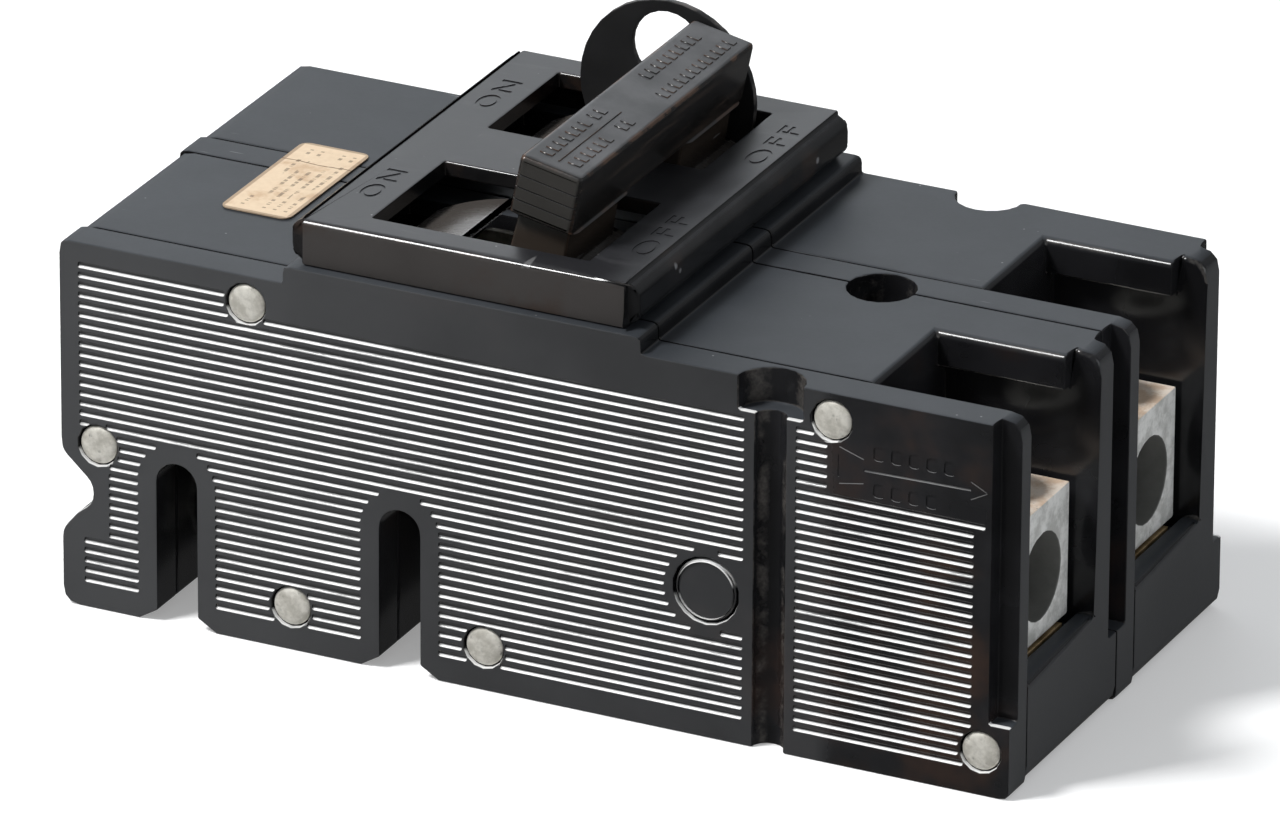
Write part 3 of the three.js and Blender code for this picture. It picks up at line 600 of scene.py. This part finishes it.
# Painted sheen: faces that look up are painted a lighter grey.
black = tint(up, black, tint(rise(clouds, 0.35, 0.7), (0.014, 0.014, 0.016, 1), (0.027, 0.028, 0.031, 1)))
sides = rise(face_y, -0.8, -0.97) * rise(y, -0.036, -0.0362)
black = tint(sides * (0.7 + clouds * 0.5), black, (0.040, 0.036, 0.034, 1))
brown = rise(mottle(place, 70, 5, 0.65), 0.52, 0.68) * rise(face_z, 0.9, 0.4)
black = tint(brown * 0.6, black, (0.034, 0.021, 0.015, 1))
smears = rise(mottle(stretched(place, 40, 160, 160), 1, 5, 0.7), 0.55, 0.75) * up
black = tint(smears * 0.3, black, (0.07, 0.07, 0.075, 1))
corner = (face_z.size() * (face_x.size() + face_y.size())) * 1.6
edge = rise(corner * (0.55 + fine * 0.9), 0.55, 1.0) * rise(mottle(place, 130, 4, 0.7), 0.47, 0.62)
edge = edge * rise(face_x, 0.4, 0.1)
black = tint(edge * 0.6, black, (0.14, 0.105, 0.088, 1))
dents = rise(cells(place, 210), 0.14, 0.05) * rise(mottle(place, 60), 0.52, 0.58) * rise(face_x, 0.1, 0.5)
black = tint(dents * 0.7, black, (0.3, 0.3, 0.31, 1))
scratches = rise(mottle(stretched(place, 260, 50, 260), 1, 2), 0.71, 0.75)
specks = rise(cells(place, 420), 0.08, 0.03) * rise(mottle(place, 90), 0.54, 0.64)
black = tint(scratches * 0.2 + specks * up * 0.6, black, (0.45, 0.45, 0.45, 1))
apply_finish(shader, {
    "Base Color": black,
    "Roughness": 0.14 + up * 0.22 + sides * 0.12 + clouds * 0.14,
    "Specular IOR Level": 0.4,
    "Normal": bumps(fine * 0.5 + mottle(place, 380, 2) * 0.7 + scratches * -1.0, 0.00002, 0.5),
})

escutcheon = copy_of("escutcheon", "escutcheon_frame", has_windows=True)

# The long near edge of the top is worn round.
pick_edges(escutcheon, lambda a, b: (
    min(a.z, b.z) > escutcheon_high.z - 0.0001 and max(a.y, b.y) < escutcheon_low.y + 0.0001))
bpy.ops.mesh.bevel(offset=0.0009, segments=4, affect="EDGES")
bpy.ops.object.mode_set(mode="OBJECT")
soften(escutcheon, 0.0004, 3)
pole_pitch = 0.0381
word_depth = 0.00014
on_start, on_from_stab, on_height, on_length = 0.0135, 0.0421, 0.0033, 0.0112
off_start, off_from_stab, off_height, off_length = 0.0118, 0.0873, 0.0034, 0.0158


def word(letters, near_end, stab_side, height, length):
    """Letters to sink in the top: they read along +Y from near_end, with their tops towards -X."""
    bpy.ops.object.text_add()
    text = bpy.context.object
    text.data.body = letters
    text.data.space_character = 1.25
    text.data.extrude = word_depth
    text.data.offset = 0.012
    bpy.ops.object.convert(target="MESH")
    text = bpy.context.object
    bpy.ops.object.mode_set(mode="EDIT")
    bpy.ops.mesh.select_all(action="SELECT")
    bpy.ops.mesh.remove_doubles(threshold=0.000001)
    bpy.ops.mesh.normals_make_consistent(inside=False)
    bpy.ops.object.mode_set(mode="OBJECT")
    corners = [vertex.co.copy() for vertex in text.data.vertices]
    left, low = min(c.x for c in corners), min(c.y for c in corners)
    wide = max(c.x for c in corners) - left
    tall = max(c.y for c in corners) - low
    for vertex in text.data.vertices:
        across = (vertex.co.x - left) / wide * length
        up_letter = (vertex.co.y - low) / tall * height
        vertex.co = Vector((
            stab_side + height - up_letter, near_end + across, escutcheon_high.z + vertex.co.z))
    return text


for pole in range(2):
    start = near_face + pole * pole_pitch
    carve(escutcheon, word("ON", start + on_start, stab_end + on_from_stab, on_height, on_length))
    carve(escutcheon, word("OFF", start + off_start, stab_end + off_from_stab, off_height, off_length))
smooth(escutcheon)
settle(escutcheon, top_finish, "case_moulding", "case", "escutcheon")

# ---------- handle ----------
# One tie bar over two stems, black moulding polished by hands: its corners are worn brown, the
# top is satin, with a painted grey sheen and raised pads where lettering would stand, and it leans with the
# handle.
lean = math.radians(11.5)
pivot = Vector((stab_end + 0.0659, 0, 0.0292))
bar_low_radius = 0.0438
bar_height = 0.0097
bar_half = 0.02925
stem_wear_z = 0.0715
leaning = Matrix.Translation(pivot) @ Matrix.Rotation(lean, 4, "Y")

handle_finish, shader, place, facing = new_finish("handle_moulding")
z = parts_of(place)[2]
face_y = parts_of(facing)[1]
across = place.node("ShaderNodeVectorMath", {"operation": "DOT_PRODUCT"},
                    {0: facing, 1: (math.cos(lean), 0, -math.sin(lean))}, 1)
upward = place.node("ShaderNodeVectorMath", {"operation": "DOT_PRODUCT"},
                    {0: facing, 1: (math.sin(lean), 0, math.cos(lean))}, 1)
clouds = mottle(place, 85, 5, 0.6)
fine = mottle(place, 1600, 4, 0.6)
up = rise(upward, 0.8, 0.98)
black = tint(rise(clouds, 0.38, 0.66), (0.0055, 0.0053, 0.0053, 1), (0.014, 0.0125, 0.012, 1))
# Painted sheen: faces that look up along the lean are painted a lighter grey.
black = tint(up, black, tint(rise(clouds, 0.35, 0.68), (0.04, 0.041, 0.043, 1), (0.085, 0.086, 0.09, 1)))
sides = rise(face_y, -0.7, -0.95)
black = tint(sides * (0.6 + clouds * 0.6), black, (0.030, 0.028, 0.025, 1))
streaks = rise(mottle(stretched(place, 150, 40, 700), 1, 4, 0.6), 0.5, 0.72) * rise(across, 0.7, 0.95)
black = tint(rise(across, 0.7, 0.95) * 0.6, black, (0.016, 0.015, 0.0145, 1))
black = tint(streaks * 0.6, black, (0.06, 0.045, 0.036, 1))
low = rise(z, stem_wear_z, stem_wear_z - 0.002)
black = tint(low * (0.4 + clouds * 0.8), black, (0.042, 0.032, 0.025, 1))
corner = (upward.size() * across.size()) * 3 + (face_y.size() * (upward.size() + across.size())) * 1.4
edge = rise(corner * (0.6 + fine * 0.8), 0.5, 1.1) * rise(mottle(place, 150, 4, 0.7), 0.4, 0.58)
black = tint(edge * 0.8, black, (0.085, 0.05, 0.034, 1))
scratches = rise(mottle(stretched(place, 420, 60, 420), 1, 2), 0.7, 0.74)
specks = rise(cells(place, 500), 0.075, 0.03) * rise(mottle(place, 110), 0.54, 0.64)
black = tint(scratches * 0.25 + specks * up * 0.5, black, (0.4, 0.4, 0.4, 1))
apply_finish(shader, {
    "Base Color": black,
    "Roughness": 0.15 + up * 0.24 + sides * 0.12 + clouds * 0.14,
    "Specular IOR Level": 0.4,
    "Normal": bumps(fine * 0.5 + mottle(place, 350, 3) * 0.8 + scratches * -1.0, 0.000025, 0.5),
})

tie_bar = copy_of("handle_tie_bar", "handle_tie_bar_shell")
soften(tie_bar, 0.0009, 3)


def add_block(name, size, middle, edge_width=0.0003, segments=2):
    """A block with rounded edges, of a size and about a middle."""
    bpy.ops.mesh.primitive_cube_add(size=1, location=middle, scale=size)
    block = bpy.context.object
    block.name = name
    bpy.ops.object.transform_apply(location=True, rotation=True, scale=True)
    bpy.ops.object.mode_set(mode="EDIT")
    bpy.ops.mesh.select_all(action="SELECT")
    bpy.ops.mesh.bevel(offset=edge_width, segments=segments, affect="EDGES")
    bpy.ops.object.mode_set(mode="OBJECT")
    return block


# Raised pads on the top, in two rows, drawn upright and then leant over with the bar.
pad_top = bar_low_radius + bar_height
pad_length = 0.0013
pad_pitch = 0.00205
pads = []
for row, pad_runs in ((-0.0024, [(-0.0262, -0.0128), (-0.0108, -0.0066), (0.0065, 0.0248)]),
                      (0.0022, [(-0.0262, -0.0138), (-0.0108, -0.0072), (0.003, 0.0272)])):
    for start, end in pad_runs:
        letter = start
        while letter < end - 0.001:
            pads.append(add_block(
                "pad", (0.0021, pad_length, 0.0003), (row, letter + pad_length / 2, pad_top), 0.0001, 1))
            letter += pad_pitch
line_start, line_end = -0.0268, -0.006
pads.append(add_block(
    "pad", (0.0003, line_end - line_start, 0.0003), (0, (line_start + line_end) / 2, pad_top), 0.0001, 1))
pads = join(pads, "pads")
pads.data.transform(leaning)
carve(tie_bar, pads, "UNION")

# Three fine lines across the near end.
cuts = join([
    add_block("cut", (0.0102, 0.0006, 0.0002), (0, -bar_half, bar_low_radius + up_end), 0.00006, 1)
    for up_end in (0.0026, 0.0046, 0.0066)
], "cuts")
cuts.data.transform(leaning)
carve(tie_bar, cuts)
smooth(tie_bar)
settle(tie_bar, handle_finish, "handle_moulding", "handle", "handle_tie_bar")

for letter in "ab":
    stem = copy_of("handle_stem_" + letter, "handle_stem_" + letter + "_shell")
    soften(stem, 0.0005, 3)
    smooth(stem)
    settle(stem, handle_finish, "handle_moulding", "handle", "handle_stem_" + letter)

# ---------- arc shields ----------
# Curved fibre-filled strips under the windows, pressed smooth and glossy, that slide with the
# handle and keep the arc's gases in.
shield_finish, shader, place, facing = new_finish("arc_shield_fibre")
clouds = mottle(place, 140, 4, 0.6)
wipes = mottle(stretched(place, 60, 500, 60), 1, 3)
apply_finish(shader, {
    "Base Color": tint(clouds, (0.04, 0.036, 0.033, 1), (0.085, 0.075, 0.068, 1)),
    "Roughness": 0.16 + wipes * 0.16 + clouds * 0.06,
    "Specular IOR Level": 0.8,
    "Normal": bumps(wipes + clouds, 0.00003, 0.4),
})
for letter in "ab":
    shield = copy_of("arc_shield_" + letter, "arc_shield_" + letter + "_strip")
    soften(shield, 0.0003)
    smooth(shield, 50)
    settle(shield, shield_finish, "arc_shield_fibre", "shield_" + letter, "arc_shield_" + letter)

# ---------- padlock plate ----------
# A flat disc with a shackle hole, stamped from sheet and blackened, held by a foot under the
# escutcheon. Its rim is rounded and rubbed to dull metal in places.
plate_finish, shader, place, facing = new_finish("padlock_plate_blackened")
face_y = parts_of(facing)[1]
clouds = mottle(place, 110, 5, 0.65)
fine = mottle(place, 1300, 4)
black = tint(clouds, (0.006, 0.006, 0.006, 1), (0.017, 0.017, 0.018, 1))
rim = rise(face_y.size(), 0.95, 0.5) * rise(mottle(place, 260, 4, 0.7), 0.42, 0.6)
black = tint(rim * 0.6, black, (0.11, 0.10, 0.095, 1))
apply_finish(shader, {
    "Base Color": black,
    "Roughness": 0.36 + clouds * 0.2,
    "Specular IOR Level": 0.4,
    "Normal": bumps(fine + mottle(place, 300), 0.00002, 0.5),
})
padlock_plate = copy_of("padlock_plate", "padlock_plate_disc")
soften(padlock_plate, 0.00025)
smooth(padlock_plate)
settle(padlock_plate, plate_finish, "handle_moulding", "case", "padlock_plate")

# ---------- case rivets ----------
# Six zinc-plated rivets hold the poles together. Each head is a low dome, cold-formed, with a
# dull cream bloom and small dents, over a shank through the whole case.
rivet_head_radius = 0.003
rivet_head_height = 0.0011
dome_drop = 0.00055  # the dome starts this far under the wall
shank_radius = 0.0016
rivet_finish, shader, place, facing = new_finish("rivet_zinc")
clouds = mottle(place, 420, 5, 0.65)
fine = mottle(place, 2400, 3)
dents = rise(cells(place, 900), 0.32, 0.1) * rise(mottle(place, 500), 0.5, 0.62)
pale = tint(rise(clouds, 0.35, 0.66), (0.43, 0.41, 0.36, 1), (0.66, 0.64, 0.58, 1))
pale = tint(rise(mottle(place, 260, 4, 0.7), 0.6, 0.7), pale, (0.24, 0.235, 0.21, 1))
apply_finish(shader, {
    "Base Color": tint(dents * 0.5, pale, (0.22, 0.22, 0.2, 1)),
    "Metallic": 0.35,
    "Roughness": 0.42 + fine * 0.2,
    "Normal": bumps(fine * 0.4 + clouds * 0.6 - dents * 1.5, 0.00006, 0.6),
})
bpy.ops.mesh.primitive_cylinder_add(
    vertices=48, radius=rivet_head_radius, depth=2 * far_face, rotation=(math.pi / 2, 0, 0))
rivet = bpy.context.object
bpy.ops.object.transform_apply(location=True, rotation=True, scale=True)
for end in (-1, 1):
    pick_faces(rivet, lambda centre, normal: normal.y * end > 0.9)
    for share, lift in ((0.93, 0.00022), (0.75, 0.00042), (0.45, 0.00055)):
        bpy.ops.mesh.inset(thickness=rivet_head_radius * 0.5, use_relative_offset=False)
        bpy.ops.object.mode_set(mode="OBJECT")
        picked = [f for f in rivet.data.polygons if f.select]
        ring = {i for f in picked for i in f.vertices}
        for i in ring:
            point = rivet.data.vertices[i].co
            around = math.hypot(point.x, point.z)
            point.x *= rivet_head_radius * share / around
            point.z *= rivet_head_radius * share / around
            point.y = end * (far_face - dome_drop + lift)
        bpy.ops.object.mode_set(mode="EDIT")
    bpy.ops.object.mode_set(mode="OBJECT")
for vertex in rivet.data.vertices:
    if math.hypot(vertex.co.x, vertex.co.z) > rivet_head_radius * 0.97:
        vertex.co.y = math.copysign(far_face - dome_drop, vertex.co.y)

# The barrel between the heads is drawn in to the shank.
pick_faces(rivet, lambda centre, normal: (
    abs(normal.y) < 0.1 and math.hypot(centre.x, centre.z) > rivet_head_radius * 0.9))
for cut_at in (-1, 1):
    bpy.ops.mesh.bisect(plane_co=(0, cut_at * (far_face - rivet_head_height), 0), plane_no=(0, 1, 0))
    bpy.ops.mesh.select_all(action="SELECT")
bpy.ops.object.mode_set(mode="OBJECT")
pick_faces(rivet, lambda centre, normal: (
    abs(normal.y) < 0.1 and math.hypot(centre.x, centre.z) > rivet_head_radius * 0.9
    and abs(centre.y) < 0.01))
bpy.ops.mesh.extrude_region_shrink_fatten(
    TRANSFORM_OT_shrink_fatten={"value": shank_radius - rivet_head_radius})
bpy.ops.object.mode_set(mode="OBJECT")
smooth(rivet, 30)
for number, (along, up_z) in enumerate(rivet_centres, 1):
    one = copied(rivet, (stab_end + along, 0, up_z), "case_rivet_%d_formed" % number)
    settle(one, rivet_finish, "rivet_zinc", "case", "case_rivet_%d" % number)
bpy.data.objects.remove(rivet)

# ---------- side plug ----------
# A round moulded plug pressed into its hole over the calibration screw, a little below the face.
plug_low, plug_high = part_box("side_plug")
plug_middle = (plug_low + plug_high) / 2
plug_radius = (plug_high.x - plug_low.x) / 2
bpy.ops.mesh.primitive_cylinder_add(
    vertices=64, radius=plug_radius, depth=plug_high.y - plug_low.y,
    location=plug_middle, rotation=(math.pi / 2, 0, 0))
side_plug = bpy.context.object
side_plug.name = "side_plug_round"
bpy.ops.object.transform_apply(location=True, rotation=True, scale=True)
pick_faces(side_plug, lambda centre, normal: normal.y < -0.9)
bpy.ops.mesh.inset(thickness=0.0004)
bpy.ops.mesh.extrude_region_move(TRANSFORM_OT_translate={"value": (0, -0.00008, 0)})
bpy.ops.object.mode_set(mode="OBJECT")
soften(side_plug, 0.0003)
smooth(side_plug)
settle(side_plug, case_finish, "case_moulding", "case", "side_plug")

# ---------- load lugs ----------
# Sawn and bored blocks of extruded aluminium, with a plated set screw down from the top. The
# sawn ends are bright and grey-mottled, the top is stained beige.
lug_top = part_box("load_lug_a")[1].z
lug_finish, shader, place, facing = new_finish("lug_aluminium")
z = parts_of(place)[2]
face_x, _, face_z = parts_of(facing)
clouds = mottle(place, 230, 5, 0.7)
fine = mottle(place, 1900, 4)
sawn = mottle(stretched(place, 200, 200, 2600), 1, 3)
pale = tint(rise(clouds, 0.38, 0.62), (0.50, 0.50, 0.48, 1), (0.78, 0.78, 0.76, 1))
top = rise(face_z, 0.6, 0.9) * rise(z, lug_top - 0.001, lug_top - 0.0005)
pale = tint(top, pale, tint(rise(clouds, 0.4, 0.6), (0.66, 0.50, 0.37, 1), (0.85, 0.75, 0.65, 1)))
# Painted shade: the bore and the other faces that don't look along X are painted dark grey.
inside = rise(face_x.size(), 0.6, 0.3) * (1 - top)
pale = tint(inside, pale, tint(clouds, (0.13, 0.13, 0.12, 1), (0.26, 0.26, 0.245, 1)))
specks = (1 - inside) * rise(cells(place, 800), 0.16, 0.06) * rise(mottle(place, 300), 0.5, 0.6)
pale = tint(specks * 0.6, pale, (0.2, 0.19, 0.17, 1))
apply_finish(shader, {
    "Base Color": pale,
    "Metallic": 0.3,
    "Roughness": 0.38 + clouds * 0.2 + top * 0.1,
    "Normal": bumps(fine * 0.5 + sawn * 0.6 + clouds * 0.4, 0.00004, 0.6),
})
for letter in "ab":
    lug = copy_of("load_lug_" + letter, "load_lug_" + letter + "_block")
    soften(lug, 0.0004, 2, 30)
    smooth(lug, 30)
    settle(lug, lug_finish, "lug_aluminium", "case", "load_lug_" + letter)

screw_finish, shader, place, facing = new_finish("lug_screw_plating")
clouds = mottle(place, 500, 4)
thread = place.node("ShaderNodeTexWave", {"wave_type": "BANDS", "bands_direction": "Z"},
                    {"Vector": place, "Scale": 120, "Distortion": 0.0})
apply_finish(shader, {
    "Base Color": tint(clouds, (0.38, 0.37, 0.34, 1), (0.6, 0.59, 0.55, 1)),
    "Metallic": 0.9,
    "Roughness": 0.3 + clouds * 0.25,
    "Normal": bumps(thread, 0.0003, 0.8),
})
for letter in "ab":
    screw = copy_of("lug_screw_" + letter, "lug_screw_" + letter + "_threaded")
    soften(screw, 0.0003)
    smooth(screw)
    settle(screw, screw_finish, "lug_screw_plating", "lug_screw_" + letter, "lug_screw_" + letter)

# ---------- rating label ----------
# A cream paper label on the near pole, with rounded corners, a dark outline, a crease across it
# and rows of faint grey dashes where the ratings would be printed.
label_low, label_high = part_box("rating_label")
label_middle = (label_low + label_high) / 2
label_size = label_high - label_low
bpy.ops.mesh.primitive_cube_add(size=1, location=label_middle, scale=label_size)
label = bpy.context.object
label.name = "rating_label_paper"
bpy.ops.object.transform_apply(location=True, rotation=True, scale=True)
pick_edges(label, lambda a, b: abs(a.z - b.z) > label_size.z / 2)
bpy.ops.mesh.bevel(offset=0.0015, segments=6, affect="EDGES")
bpy.ops.object.mode_set(mode="OBJECT")
label_finish, shader, place, facing = new_finish("label_paper")
x, y, _ = parts_of(place)
fibres = mottle(place, 900, 4, 0.6)
stains = rise(mottle(place, 160, 4, 0.6), 0.52, 0.68)
cream = tint(fibres, (0.60, 0.46, 0.32, 1), (0.74, 0.60, 0.44, 1))
cream = tint(stains * 0.5, cream, (0.42, 0.26, 0.15, 1))
half_x, half_y = label_size.x / 2, label_size.y / 2
from_x = (x - label_middle.x).size()
from_y = (y - label_middle.y).size()
border = rise(from_x, half_x - 0.0007, half_x - 0.0005).maths(
    "MAXIMUM", rise(from_x, half_x - 0.0007, half_x - 0.0005), rise(from_y, half_y - 0.0007, half_y - 0.0005))
cream = tint(border * 0.5, cream, (0.10, 0.055, 0.03, 1))
dash = rise(mottle(stretched(place, 1, 900, 900), 1, 2, 0.7), 0.46, 0.52)
line_place = ((x - label_low.x) * 560).maths("FRACT", (x - label_low.x) * 560)
rows = rise(line_place, 0.32, 0.36) * rise(line_place, 0.68, 0.64)
block = rise(mottle(stretched(place, 300, 110, 300), 1, 1), 0.42, 0.46)
margins = rise(from_x, half_x - 0.0011, half_x - 0.0013) * rise(from_y, half_y - 0.002, half_y - 0.0023)
cream = tint(dash * rows * block * margins * 0.6, cream, (0.09, 0.07, 0.055, 1))
crease_at = (y - (label_middle.y + 0.0068) + (mottle(place, 260, 3) - 0.5) * 0.0012).size()
crease = rise(crease_at, 0.00016, 0.00006)
cream = tint(crease * 0.8, cream, (0.12, 0.07, 0.04, 1))
apply_finish(shader, {
    "Base Color": cream,
    "Roughness": 0.75 + fibres * 0.1,
    "Specular IOR Level": 0.2,
    "Normal": bumps(fibres - crease * 2, 0.00004, 0.5),
})
smooth(label)
settle(label, label_finish, "label_paper", "case", "rating_label")

# ---------- stab jaws ----------
# Spring-tempered copper strip, tinned dull silver, folded to grip the bus stab.
jaw_finish, shader, place, facing = new_finish("tinned_copper")
clouds = mottle(place, 320, 5, 0.7)
wipes = mottle(stretched(place, 900, 900, 120), 1, 3)
silver = tint(rise(clouds, 0.36, 0.64), (0.36, 0.35, 0.32, 1), (0.72, 0.71, 0.67, 1))
apply_finish(shader, {
    "Base Color": tint(rise(mottle(place, 600, 4, 0.7), 0.58, 0.68) * 0.7, silver, (0.12, 0.11, 0.09, 1)),
    "Metallic": 0.6,
    "Roughness": 0.32 + clouds * 0.25,
    "Normal": bumps(wipes + clouds, 0.00008, 0.6),
})
for letter in "ab":
    jaw = copy_of("stab_jaw_" + letter, "stab_jaw_" + letter + "_strip")
    soften(jaw, 0.00015)
    smooth(jaw, 50)
    settle(jaw, jaw_finish, "tinned_copper", "case", "stab_jaw_" + letter)

# ---------- copper parts ----------
# Line and load straps, contact arms and braids: rolled copper, dulled brown where it is handled
# and bright at rubbed spots.
copper_finish, shader, place, facing = new_finish("copper")
clouds = mottle(place, 190, 5, 0.65)
rolled = mottle(stretched(place, 120, 1500, 1500), 1, 3)
copper = tint(rise(clouds, 0.36, 0.64), (0.33, 0.13, 0.06, 1), (0.62, 0.31, 0.17, 1))
copper = tint(rise(mottle(place, 380, 4, 0.7), 0.57, 0.68) * 0.6, copper, (0.13, 0.055, 0.03, 1))
apply_finish(shader, {
    "Base Color": copper,
    "Metallic": 0.9,
    "Roughness": 0.3 + clouds * 0.25,
    "Normal": bumps(rolled + clouds, 0.00003, 0.5),
})

brass_finish, shader, place, facing = new_finish("brass_strap")
clouds = mottle(place, 230, 5, 0.65)
rolled = mottle(stretched(place, 120, 1500, 1500), 1, 3)
apply_finish(shader, {
    "Base Color": tint(rise(clouds, 0.36, 0.64), (0.30, 0.20, 0.09, 1), (0.62, 0.47, 0.27, 1)),
    "Metallic": 0.85,
    "Roughness": 0.32 + clouds * 0.25,
    "Normal": bumps(rolled + clouds, 0.00003, 0.5),
})


def refinish(finish, *nodes):
    """Gives solids of the frame another finish."""
    for node in nodes:
        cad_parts[node].data.materials.clear()
        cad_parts[node].data.materials.append(finish)


for letter in "ab":
    refinish(copper_finish, "line_strap_" + letter, "contact_arm_" + letter)
    refinish(brass_finish, "load_strap_" + letter)

# The braid is woven from fine wires: two crossed bands stand for its strands.
braid_finish, shader, place, facing = new_finish("copper_braid")
strands = [
    place.node("ShaderNodeTexWave", {"wave_type": "BANDS", "bands_direction": "DIAGONAL"},
               {"Vector": stretched(place, 1, turn_side, 1), "Scale": 230, "Distortion": 0.6})
    for turn_side in (1, -1)
]
weave = strands[0].maths("MAXIMUM", *strands)
apply_finish(shader, {
    "Base Color": tint(weave, (0.10, 0.04, 0.02, 1), (0.58, 0.28, 0.15, 1)),
    "Metallic": 0.85,
    "Roughness": 0.4 + weave * 0.1,
    "Normal": bumps(weave, 0.0003, 0.9),
})
refinish(braid_finish, "flexible_braid_a", "flexible_braid_b")

# ---------- contacts ----------
# Silver alloy buttons brazed to the arm and the strap, pitted by arcs.
contact_finish, shader, place, facing = new_finish("silver_contact")
pits = rise(cells(place, 1500), 0.3, 0.12) * rise(mottle(place, 700), 0.45, 0.6)
clouds = mottle(place, 500, 4)
apply_finish(shader, {
    "Base Color": tint(
        pits, tint(clouds, (0.5, 0.49, 0.47, 1), (0.75, 0.74, 0.71, 1)), (0.08, 0.07, 0.06, 1)),
    "Metallic": 0.95,
    "Roughness": 0.3 + clouds * 0.2 + pits * 0.3,
    "Normal": bumps(clouds - pits, 0.0001, 0.7),
})
refinish(contact_finish, "fixed_contact_a", "fixed_contact_b", "moving_contact_a", "moving_contact_b")

# ---------- arc chutes ----------
# Vulcanised fibre walls with steel plates between them, smoked by use.
chute_finish, shader, place, facing = new_finish("arc_chute_fibre")
fibres = mottle(stretched(place, 300, 300, 1500), 1, 4, 0.65)
soot = rise(mottle(place, 110, 5, 0.65), 0.42, 0.66)
apply_finish(shader, {
    "Base Color": tint(
        soot, tint(fibres, (0.16, 0.085, 0.05, 1), (0.3, 0.17, 0.10, 1)), (0.02, 0.016, 0.013, 1)),
    "Roughness": 0.7 + fibres * 0.2,
    "Normal": bumps(fibres, 0.00008, 0.6),
})
refinish(chute_finish, "arc_chute_a", "arc_chute_b")

# ---------- mechanism ----------
# Frames, pins, links, cradles, yokes and springs: stamped steel with a dull zinc plating, pale
# grey with a straw tint and a sheared edge.
steel_finish, shader, place, facing = new_finish("plated_steel")
clouds = mottle(place, 260, 5, 0.65)
fine = mottle(place, 2000, 3)
plating = tint(rise(clouds, 0.36, 0.64), (0.33, 0.32, 0.29, 1), (0.55, 0.54, 0.50, 1))
plating = tint(rise(mottle(place, 150, 4, 0.7), 0.57, 0.7) * 0.6, plating, (0.36, 0.27, 0.14, 1))
apply_finish(shader, {
    "Base Color": plating,
    "Metallic": 0.85,
    "Roughness": 0.34 + clouds * 0.22,
    "Normal": bumps(fine + clouds, 0.00003, 0.5),
})
for letter in "ab":
    refinish(
        steel_finish, *(part + "_" + letter for part in (
            "mechanism_frame", "handle_pin", "cradle", "upper_link", "lower_link", "handle_yoke",
            "main_spring", "magnet_yoke", "armature")),
    )

# ---------- trip unit ----------
# The bimetal strip is nickel steel, rolled lengthways, with heat colours near its foot. The trip
# bar is a brown moulding.
bimetal_finish, shader, place, facing = new_finish("bimetal_strip")
z = parts_of(place)[2]
rolled = mottle(stretched(place, 1500, 1500, 90), 1, 3)
heated = rise(z + (mottle(place, 200) - 0.5) * 0.01, 0.024, 0.012)
apply_finish(shader, {
    "Base Color": tint(
        heated * 0.7, tint(rolled, (0.4, 0.39, 0.37, 1), (0.6, 0.59, 0.57, 1)), (0.3, 0.17, 0.09, 1)),
    "Metallic": 0.9,
    "Roughness": 0.28 + rolled * 0.25,
    "Normal": bumps(rolled, 0.00003, 0.5),
})
refinish(bimetal_finish, "bimetal_a", "bimetal_b")

trip_finish, shader, place, facing = new_finish("trip_bar_moulding")
clouds = mottle(place, 150, 5, 0.6)
fine = mottle(place, 1500, 3)
apply_finish(shader, {
    "Base Color": tint(clouds, (0.05, 0.022, 0.012, 1), (0.10, 0.05, 0.028, 1)),
    "Roughness": 0.4 + clouds * 0.2,
    "Normal": bumps(fine + clouds, 0.00004, 0.5),
})
refinish(trip_finish, "trip_bar")

# ---------- last words ----------
bpy.ops.object.select_all(action="DESELECT")
